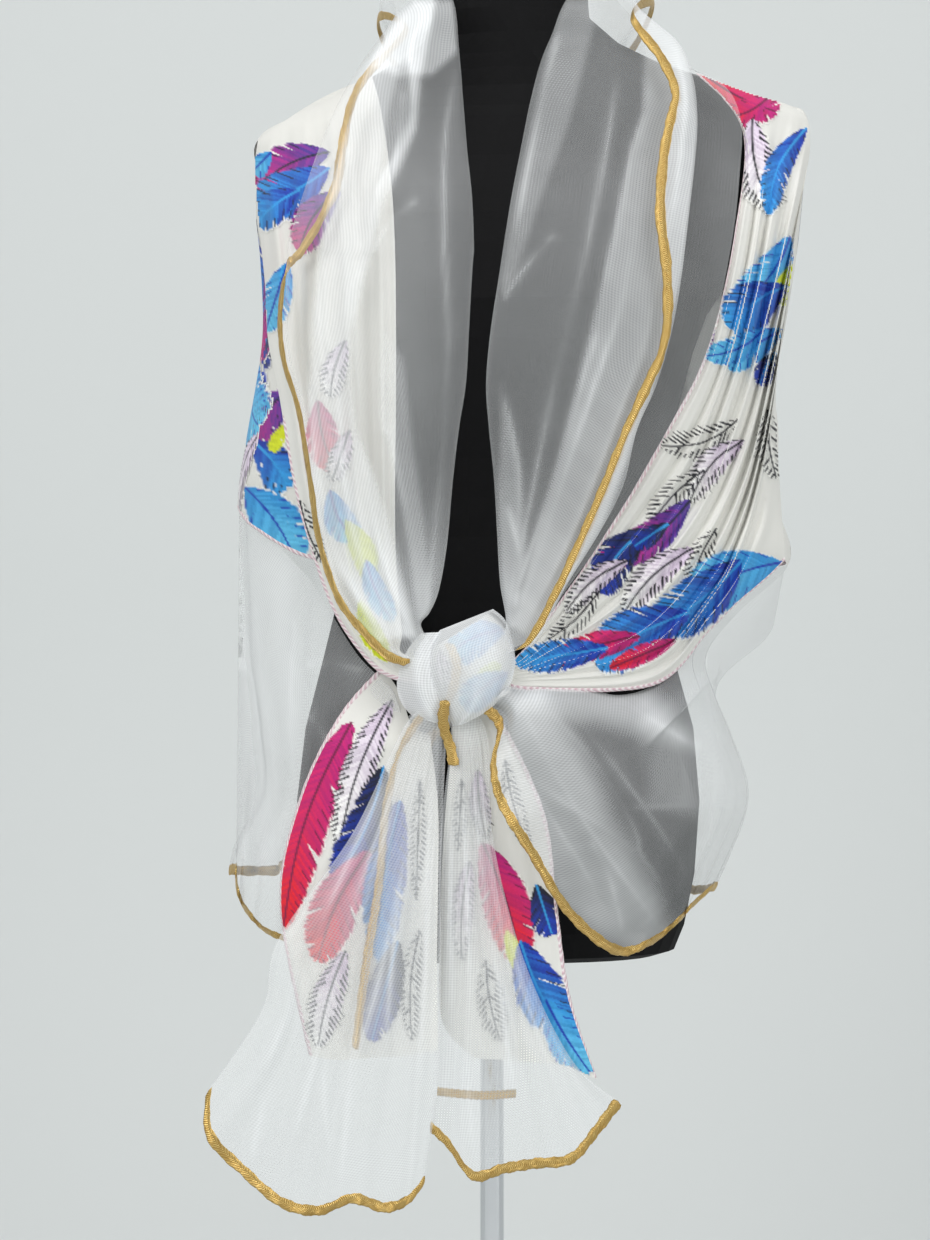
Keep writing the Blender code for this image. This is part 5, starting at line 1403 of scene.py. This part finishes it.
# %% [markdown]
# ## The feather print
#
# The print is a free scatter of generic feathers: some solid and bright, some only a quill with
# dark barbs. Each one is worked out from a row of a table: a curved quill, a vane on each side
# that is streaked and split along its barbs, and fine strokes. The places are then cast onto the
# cloth from the side that the table names, so the dye lies in every fold. The layout is made up.

# %% Dyes and styles
DYES = {
    "royal": "#1238ac", "sky": "#2f97da", "aqua": "#62bfe4", "magenta": "#bf1878", "red": "#e01c2c",
    "wine": "#6e1040", "violet": "#55389c",
    "lilac": "#dccbe0", "navy": "#1a1e34", "lime": "#d4de24", "white": "#f0f0ec", "ink": "#14151f",
}
# Each style: dye at the base, dye at the tip, dye of the strokes, dye of the quill
STYLES = {
    "blue": ("royal", "sky", "navy", "sky"), "sky": ("sky", "aqua", "royal", "royal"),
    "rose": ("magenta", "red", "wine", "wine"), "plum": ("violet", "magenta", "navy", "navy"),
    "pale": ("lilac", "white", "ink", "ink"), "line": ("", "", "ink", "ink"),
    "night": ("navy", "royal", "ink", "sky"),
    "sun": ("lime", "lime", "lime", "lime"), "ember": ("red", "magenta", "wine", "wine"),
}
print("dyes:", len(DYES), "styles:", len(STYLES))

# %% Casting the print onto a sheet
DYE_LIFT = 0.0004
# How far apart the barbs of a vane are drawn, in pixels
BARB_PX = 2.2
# How far a barb runs forward for each step that it goes sideways
BARB_SLANT = 0.9
# How far apart the dark strokes are on outlined feathers and on coloured ones
OUTLINED_PITCH_PX, STROKE_PITCH_PX = 5.5, 11.0
CLOTH_TONE = "#ecebe5"
PRINT_MARGIN_PX = 36.0
# A face of dye that is longer than this would bridge a fold, so it is left out
FOLD_GAP = 0.012
LEAST_WET = 0.04
rng = np.random.default_rng(11)


def cast_ray(tree_of, px, py, azimuth):
    """Where a line of sight through a pixel, from one side, meets a sheet, and the face's normal."""
    turn = math.radians(azimuth)
    target = seen(np.float64(px), np.float64(py), np.float64(0.0))
    eye = np.array([0.0, -VIEW_DISTANCE, target[2]])
    if azimuth == 0:
        eye = np.array([EYE_X, -VIEW_DISTANCE, EYE_HEIGHT])
    spin = np.array([[math.cos(turn), -math.sin(turn), 0], [math.sin(turn), math.cos(turn), 0], [0, 0, 1]])
    eye, target = spin @ eye, spin @ target
    direction = Vector(target - eye).normalized()
    hit, normal, _, _ = tree_of.ray_cast(Vector(eye), direction)
    if hit is None:
        return None
    if normal.dot(direction) > 0:
        normal = -normal
    return hit, normal


print("the dye lies", DYE_LIFT * 1000, "mm off the cloth")


# %% Painting the feathers
def paint(px, py, motifs):
    """The dye at places in the picture and how wet each is: later feathers lie over earlier ones."""
    colour = np.ones(px.shape + (3,)) * linear(CLOTH_TONE)
    wet = np.zeros(px.shape)
    for _, base, tip, width, bend, style in motifs:
        under, upper, stroke, quill = STYLES[style]
        outlined = style in ("pale", "line")
        length = math.hypot(tip[0] - base[0], tip[1] - base[1])
        ahead_x, ahead_y = (tip[0] - base[0]) / length, (tip[1] - base[1]) / length
        t = ((px - base[0]) * ahead_x + (py - base[1]) * ahead_y) / length
        aside = (py - base[1]) * ahead_x - (px - base[0]) * ahead_y
        aside = aside - bend * length * np.sin(math.pi * np.clip(t, 0, 1))
        hand = (aside > 0).astype(int)
        root = t - BARB_SLANT * np.abs(aside) / length
        within = (root > 0) & (root < 1)
        reach = np.abs(aside) / (width / 2 * np.sin(math.pi * np.clip(root, 0.02, 0.98) ** 0.8) ** 0.6)
        count = int(length / BARB_PX) + 1
        barbs = rng.random((2, count))[hand, np.clip((root * length / BARB_PX).astype(int), 0, count - 1)]
        washes = []
        if under:
            edge = 1 - 0.14 * barbs
            for side in (0, 1):
                for split in rng.uniform(0.25, 0.9, 2):
                    edge = edge - 0.5 * np.exp(-(((root - split) / 0.012) ** 2)) * (hand == side)
            mix = np.clip(root * 1.2 - 0.1, 0, 1) + 0.35 * (barbs - 0.5)
            mix = mix + 0.25 * (2 * hand - 1) * (reach - 0.3)
            mix = np.clip(mix, 0, 1)[..., None]
            dyes = np.array(linear(DYES[under])) * (1 - mix) + np.array(linear(DYES[upper])) * mix
            dyes = dyes * (0.82 + 0.28 * barbs)[..., None]
            washes.append((dyes, (1 - smooth_step(edge - 0.06, edge + 0.06, reach)) * within))
        thin = 0.4 + 0.5 * (1 - np.clip(t, 0, 1))
        share = (1 - smooth_step(thin, thin + 0.8, np.abs(aside))) * (t > 0) * (t < 1)
        washes.append((linear(DYES[quill]), share))
        pitch = OUTLINED_PITCH_PX if outlined else STROKE_PITCH_PX
        count = int(length / pitch) + 1
        order = np.clip((root * length / pitch).astype(int), 0, count - 1)
        start = rng.uniform(0.05 if style == "line" else 0.4, 0.7, (2, count))[hand, order]
        end = rng.uniform(0.9, 1.2 if outlined else 1.0, (2, count))[hand, order]
        off = np.abs(root * length / pitch - order - 0.5) * pitch * 0.74
        thick = (0.75 if outlined else 0.30) * (1.1 - 0.8 * smooth_step(0.5, 1.15, reach))
        share = (1 - smooth_step(thick, thick + 0.7, off)) * (reach > start) * (reach < end) * within
        washes.append((linear(DYES[stroke]), share))
        for dyes, share in washes:
            colour = colour + (np.array(dyes) - colour) * share[..., None]
            wet = np.maximum(wet, share)
    return colour, wet


print("barbs drawn", BARB_PX, "pixels apart")


# %% Printing one sheet
def print_on(name, grid, motifs, step, both_faces=False):
    """The motifs of one sheet as one thin piece of dye that lies on it, sampled at every step."""
    rows, columns = grid.shape[:2]
    index = np.arange(rows * columns).reshape(rows, columns)
    quads = np.stack([index[:-1, :-1], index[:-1, 1:], index[1:, 1:], index[1:, :-1]], axis=-1)
    tree_of = BVHTree.FromPolygons(grid.reshape(-1, 3).tolist(), quads.reshape(-1, 4).tolist())
    points, faces, dyes = [], [], []
    for azimuth in sorted({motif[0] for motif in motifs}):
        seen_here = [motif for motif in motifs if motif[0] == azimuth]
        ends = np.array([place for motif in seen_here for place in motif[1:3]], float)
        low, high = ends.min(axis=0) - PRINT_MARGIN_PX, ends.max(axis=0) + PRINT_MARGIN_PX
        px, py = np.meshgrid(np.arange(low[0], high[0], step), np.arange(low[1], high[1], step))
        colours, wet = paint(px, py, seen_here)
        wet = wet > LEAST_WET
        wet_faces = wet[:-1, :-1] | wet[:-1, 1:] | wet[1:, :-1] | wet[1:, 1:]
        needed = np.zeros(wet.shape, bool)
        for down, along in ((0, 0), (0, 1), (1, 0), (1, 1)):
            height, width = wet_faces.shape
            needed[down:down + height, along:along + width] |= wet_faces
        front, back = np.full(px.shape, -1), np.full(px.shape, -1)
        for row, column in np.argwhere(needed):
            found = cast_ray(tree_of, px[row, column], py[row, column], azimuth)
            if found:
                for numbers, lift in ((front, DYE_LIFT), (back, -DYE_LIFT))[:1 + both_faces]:
                    numbers[row, column] = len(points)
                    points.append(found[0] + found[1] * lift)
                    dyes.append((*colours[row, column], 1.0))
        for numbers in (front, back)[:1 + both_faces]:
            for row, column in np.argwhere(wet_faces):
                corners = [numbers[row, column], numbers[row, column + 1],
                    numbers[row + 1, column + 1], numbers[row + 1, column]]
                if min(corners) < 0:
                    continue
                a, b, c, d = (points[corner] for corner in corners)
                if max((a - c).length, (b - d).length) < FOLD_GAP:
                    faces.append(corners)
    mesh = bpy.data.meshes.new(name)
    mesh.from_pydata([tuple(point) for point in points], [], faces)
    mesh.shade_smooth()
    layer = mesh.color_attributes.new("dye", "FLOAT_COLOR", "POINT")
    layer.data.foreach_set("color", np.array(dyes, float).reshape(-1))
    mesh.materials.append(dye)
    piece = bpy.data.objects.new(name, mesh)
    bpy.context.scene.collection.objects.link(piece)
    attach(piece, "root")
    print(name, len(motifs), "motifs,", len(faces), "faces")
    return piece


# %% [markdown]
# ### Where the feathers lie
#
# Each row gives the side it is cast from in degrees, the base and the tip of its quill, its
# width and its bend. Sides are measured round the form: 0 is the front, 90 the right side, 180
# the back and 270 the left side.

# %% Motif tables
RIGHT_FRONT_MOTIFS = [
    (0, (700, 72), (776, 112), 44, 0.05, "ember"), (0, (770, 96), (722, 118), 29, -0.10, "rose"),
    (0, (752, 118), (772, 208), 44, 0.08, "pale"), (0, (806, 128), (768, 214), 29, 0.10, "blue"),
    (0, (790, 236), (742, 300), 44, -0.10, "sky"), (0, (796, 262), (780, 304), 26, 0.0, "sun"),
    (0, (788, 286), (734, 330), 57, 0.12, "blue"), (0, (784, 330), (728, 366), 34, 0.05, "sky"),
    (0, (776, 352), (760, 384), 23, 0.05, "night"), (0, (712, 300), (700, 352), 29, 0.08, "plum"),
    (0, (764, 330), (706, 356), 29, -0.10, "sky"), (0, (738, 420), (662, 446), 30, -0.12, "line"),
    (0, (744, 440), (690, 500), 30, 0.10, "pale"), (0, (768, 410), (776, 478), 28, 0.05, "line"),
    (0, (704, 470), (648, 528), 26, 0.06, "line"), (0, (690, 500), (600, 560), 39, -0.10, "plum"),
    (0, (650, 528), (600, 590), 44, 0.10, "night"), (0, (668, 524), (634, 546), 23, 0.0, "night"),
    (0, (694, 548), (624, 612), 34, 0.08, "pale"), (0, (716, 528), (690, 590), 24, 0.05, "line"),
    (0, (782, 562), (690, 604), 60, 0.08, "sky"), (0, (742, 560), (656, 628), 57, -0.05, "blue"),
    (0, (628, 560), (566, 612), 26, 0.08, "pale"), (0, (600, 590), (548, 640), 22, -0.06, "line"),
    (0, (690, 612), (596, 660), 60, 0.04, "blue"), (0, (640, 636), (548, 662), 31, 0.03, "rose"),
    (0, (608, 648), (516, 662), 34, 0.0, "blue"), (0, (676, 640), (610, 668), 21, 0.0, "rose"),
]
LEFT_FRONT_MOTIFS = [
    (0, (330, 152), (258, 186), 47, 0.08, "plum"), (0, (330, 168), (256, 206), 52, -0.05, "blue"),
    (0, (272, 152), (254, 170), 26, 0.0, "sky"), (0, (300, 190), (258, 222), 36, 0.06, "blue"),
    (0, (340, 190), (300, 250), 39, 0.10, "plum"), (0, (288, 262), (266, 330), 34, 0.0, "sky"),
    (0, (318, 400), (336, 470), 39, 0.06, "rose"), (0, (350, 430), (332, 480), 24, 0.0, "pale"),
    (0, (330, 490), (352, 540), 34, 0.06, "sky"), (0, (346, 520), (372, 580), 28, -0.05, "sun"),
    (0, (360, 600), (388, 660), 24, 0.06, "sun"), (0, (300, 500), (322, 560), 22, 0.05, "line"),
    (0, (346, 340), (330, 396), 26, 0.05, "pale"), (0, (366, 560), (392, 620), 26, 0.05, "sky"),
]
BACK_MOTIFS = [
    (0, (258, 348), (244, 420), 52, 0.06, "blue"), (0, (290, 390), (246, 446), 57, 0.08, "plum"),
    (0, (252, 440), (288, 486), 44, -0.06, "blue"), (0, (286, 424), (272, 452), 16, 0.0, "sun"),
    (0, (244, 486), (296, 560), 57, -0.06, "sky"), (0, (268, 330), (258, 366), 29, 0.0, "night"),
    (270, (470, 200), (500, 320), 78, 0.08, "blue"), (270, (540, 240), (510, 360), 73, -0.08, "plum"),
    (270, (480, 360), (560, 430), 78, 0.10, "sky"), (270, (430, 260), (446, 350), 44, 0.06, "pale"),
    (270, (560, 440), (500, 520), 54, 0.10, "pale"), (270, (600, 200), (570, 300), 65, 0.06, "rose"),
    (90, (500, 140), (470, 250), 73, 0.08, "blue"), (90, (560, 190), (590, 290), 54, -0.08, "pale"),
    (90, (520, 300), (560, 400), 73, 0.10, "rose"), (90, (590, 330), (540, 440), 65, 0.08, "sky"),
    (90, (500, 420), (550, 520), 54, -0.08, "pale"), (90, (600, 460), (560, 560), 65, 0.08, "blue"),
    (180, (300, 170), (380, 260), 86, 0.10, "blue"), (180, (440, 120), (400, 230), 60, -0.08, "pale"),
    (180, (520, 130), (600, 210), 83, 0.08, "rose"), (180, (660, 160), (620, 270), 78, 0.08, "sky"),
    (180, (360, 300), (300, 400), 64, 0.08, "pale"), (180, (440, 280), (500, 380), 88, -0.10, "plum"),
    (180, (560, 290), (530, 410), 60, 0.08, "line"), (180, (700, 280), (640, 380), 86, 0.10, "blue"),
    (180, (340, 440), (420, 520), 86, -0.08, "sky"), (180, (480, 430), (450, 540), 75, 0.08, "rose"),
    (180, (600, 420), (670, 500), 64, 0.08, "pale"), (180, (540, 500), (580, 570), 44, 0.0, "sun"),
    (180, (700, 440), (720, 540), 68, 0.06, "night"), (180, (280, 500), (320, 560), 44, 0.06, "line"),
]
LEFT_TAIL_MOTIFS = [
    (0, (352, 722), (284, 926), 52, 0.06, "rose"), (0, (392, 700), (338, 852), 34, 0.05, "pale"),
    (0, (384, 766), (336, 880), 47, -0.06, "night"), (0, (370, 850), (318, 960), 52, 0.06, "rose"),
    (0, (400, 800), (380, 960), 44, 0.03, "blue"), (0, (398, 940), (372, 1040), 39, 0.0, "night"),
    (0, (346, 950), (318, 1046), 34, 0.04, "pale"), (0, (420, 780), (416, 900), 16, 0.0, "line"),
    (0, (420, 930), (412, 1040), 22, 0.05, "line"),
]
RIGHT_TAIL_MOTIFS = [
    (0, (478, 770), (486, 838), 22, 0.04, "pale"), (0, (482, 842), (520, 960), 52, -0.04, "rose"),
    (0, (506, 930), (522, 972), 18, 0.0, "sun"), (0, (536, 884), (552, 934), 34, 0.0, "night"),
    (0, (520, 940), (562, 1030), 55, 0.04, "blue"), (0, (546, 1000), (590, 1072), 44, 0.03, "sky"),
    (0, (470, 860), (462, 960), 24, 0.04, "pale"), (0, (486, 960), (500, 1040), 26, 0.04, "line"),
    (0, (505, 760), (530, 850), 20, 0.04, "line"), (0, (462, 780), (458, 850), 14, 0.0, "line"),
]
KNOT_MOTIFS = [
    (0, (506, 630), (454, 650), 44, 0.08, "sky"), (0, (466, 690), (498, 664), 20, 0.06, "sun"),
    (0, (508, 672), (464, 706), 34, 0.05, "sky"), (0, (440, 650), (446, 690), 16, 0.0, "pale"),
]
print("motifs on the fronts:", len(RIGHT_FRONT_MOTIFS) + len(LEFT_FRONT_MOTIFS))

# %% Print the sheets
# The dye's name, its sheet, its motifs, how fine it is sampled in pixels, and whether it shows on
# both faces
PRINTS = [
    ("right_front_dye", right_grid, RIGHT_FRONT_MOTIFS, 1.3, False),
    ("left_front_dye", left_grid, LEFT_FRONT_MOTIFS, 1.3, False),
    ("back_panel_dye", back_grid, BACK_MOTIFS, 2.0, False),
    ("left_tail_dye", tail_grids["left_tail_chiffon"], LEFT_TAIL_MOTIFS, 1.4, True),
    ("right_tail_dye", tail_grids["right_tail_chiffon"], RIGHT_TAIL_MOTIFS, 1.4, True),
    ("knot_dye", core_grid, KNOT_MOTIFS, 1.6, False),
]
for name, grid, motifs, step, both_faces in PRINTS:
    print_on(name, grid, motifs, step, both_faces)

# %% [markdown]
# ## Sheets and their cut
#
# Each sheet's cut, how large it was before it was draped, is listed here with how it is held and
# what it rests on, and printed beside the area that it is laid over. The cut is the part of the
# scarf that this stretch shows: the whole scarf is about 2.2 m by 1.1 m.

CUTS = {
    "back_panel": (0.78, 0.42, "draped", ["dress_form"]),
    "back_border": (0.62, 0.29, "hung", ["back_panel"]),
    "right_front": (0.40, 0.34, "draped", ["dress_form"]),
    "left_front": (0.50, 0.12, "draped", ["dress_form"]),
    "collar_roll": (1.52, 0.26, "draped", ["dress_form"]),
    "right_hip_border": (0.36, 0.22, "draped", ["dress_form"]),
    "left_hip_border": (0.26, 0.26, "draped", ["dress_form"]),
    "knot_inner": (0.21, 0.10, "gathered", ["dress_form"]),
    "knot_wrap": (0.08, 0.08, "gathered", ["knot_inner"]),
    "knot_side_fold": (0.05, 0.06, "gathered", ["knot_inner"]),
    "left_tail_print_cloth": (0.09, 0.30, "hung", ["knot_inner"]),
    "left_tail_border": (0.13, 0.40, "hung", ["knot_inner"]),
    "left_tail_inner_border": (0.05, 0.25, "hung", ["knot_inner"]),
    "right_tail_print_cloth": (0.08, 0.28, "hung", ["knot_inner"]),
    "right_tail_border": (0.09, 0.34, "hung", ["knot_inner"]),
    "right_tail_inner_border": (0.05, 0.28, "hung", ["knot_inner"]),
}
for name, (width, length, held, rests_on) in CUTS.items():
    piece, area = SHEETS[name]
    print(name, "laid", round(area, 4), "cut", round(width * length, 4))

# %% [markdown]
# ## Floor and light
#
# A pale floor that sweeps up behind the stand, and soft light from large panels: one high at
# the left, a wide one at the right, and a gentle one from above. Large lights wrap round the
# folds, so sheer cloth keeps its soft edges.

# %% Sweep and lights
SWEEP_WIDTH, SWEEP_FRONT, SWEEP_BACK, SWEEP_HEIGHT, SWEEP_BEND = 9.0, -4.5, 1.7, 4.0, 0.9
paper, tree, shader = new_finish("pale_paper")
shader.inputs["Base Color"].default_value = (*linear("#dfe2e1"), 1)
shader.inputs["Roughness"].default_value = 0.9
turn = np.linspace(0, math.pi / 2, 16)
bend_y = SWEEP_BACK - SWEEP_BEND + SWEEP_BEND * np.sin(turn)
bend_z = SWEEP_BEND - SWEEP_BEND * np.cos(turn)
profile = [(SWEEP_FRONT, 0.0), *zip(bend_y, bend_z), (SWEEP_BACK, SWEEP_HEIGHT)]
corners = [(side * SWEEP_WIDTH / 2, y, z) for y, z in profile for side in (-1, 1)]
mesh = bpy.data.meshes.new("paper_sweep")
mesh.from_pydata(corners, [], [(2 * k, 2 * k + 1, 2 * k + 3, 2 * k + 2) for k in range(len(profile) - 1)])
mesh.shade_smooth()
mesh.materials.append(paper)
sweep = bpy.data.objects.new("paper_sweep", mesh)
bpy.context.scene.collection.objects.link(sweep)

LIGHTS = [
    ("left_panel", (-1.7, -2.3, 2.2), (1.6, 1.8), 36),
    ("right_panel", (1.9, -2.0, 1.6), (1.4, 1.8), 24),
    ("top_panel", (0.0, -0.6, 3.0), (2.4, 1.6), 22),
]
for name, place, size, power in LIGHTS:
    panel = bpy.data.lights.new(name, "AREA")
    panel.shape = "RECTANGLE"
    panel.size, panel.size_y = size
    panel.energy = power
    lamp = bpy.data.objects.new(name, panel)
    lamp.location = place
    lamp.rotation_euler = (Vector((0, 0, 0.95)) - Vector(place)).to_track_quat("-Z", "Y").to_euler()
    bpy.context.scene.collection.objects.link(lamp)

world = bpy.data.worlds.new("soft_room")
world.use_nodes = True
world.node_tree.nodes["Background"].inputs["Color"].default_value = (*linear("#eef1f2"), 1)
world.node_tree.nodes["Background"].inputs["Strength"].default_value = 0.50
bpy.context.scene.world = world
bpy.context.scene.view_settings.view_transform = "Standard"
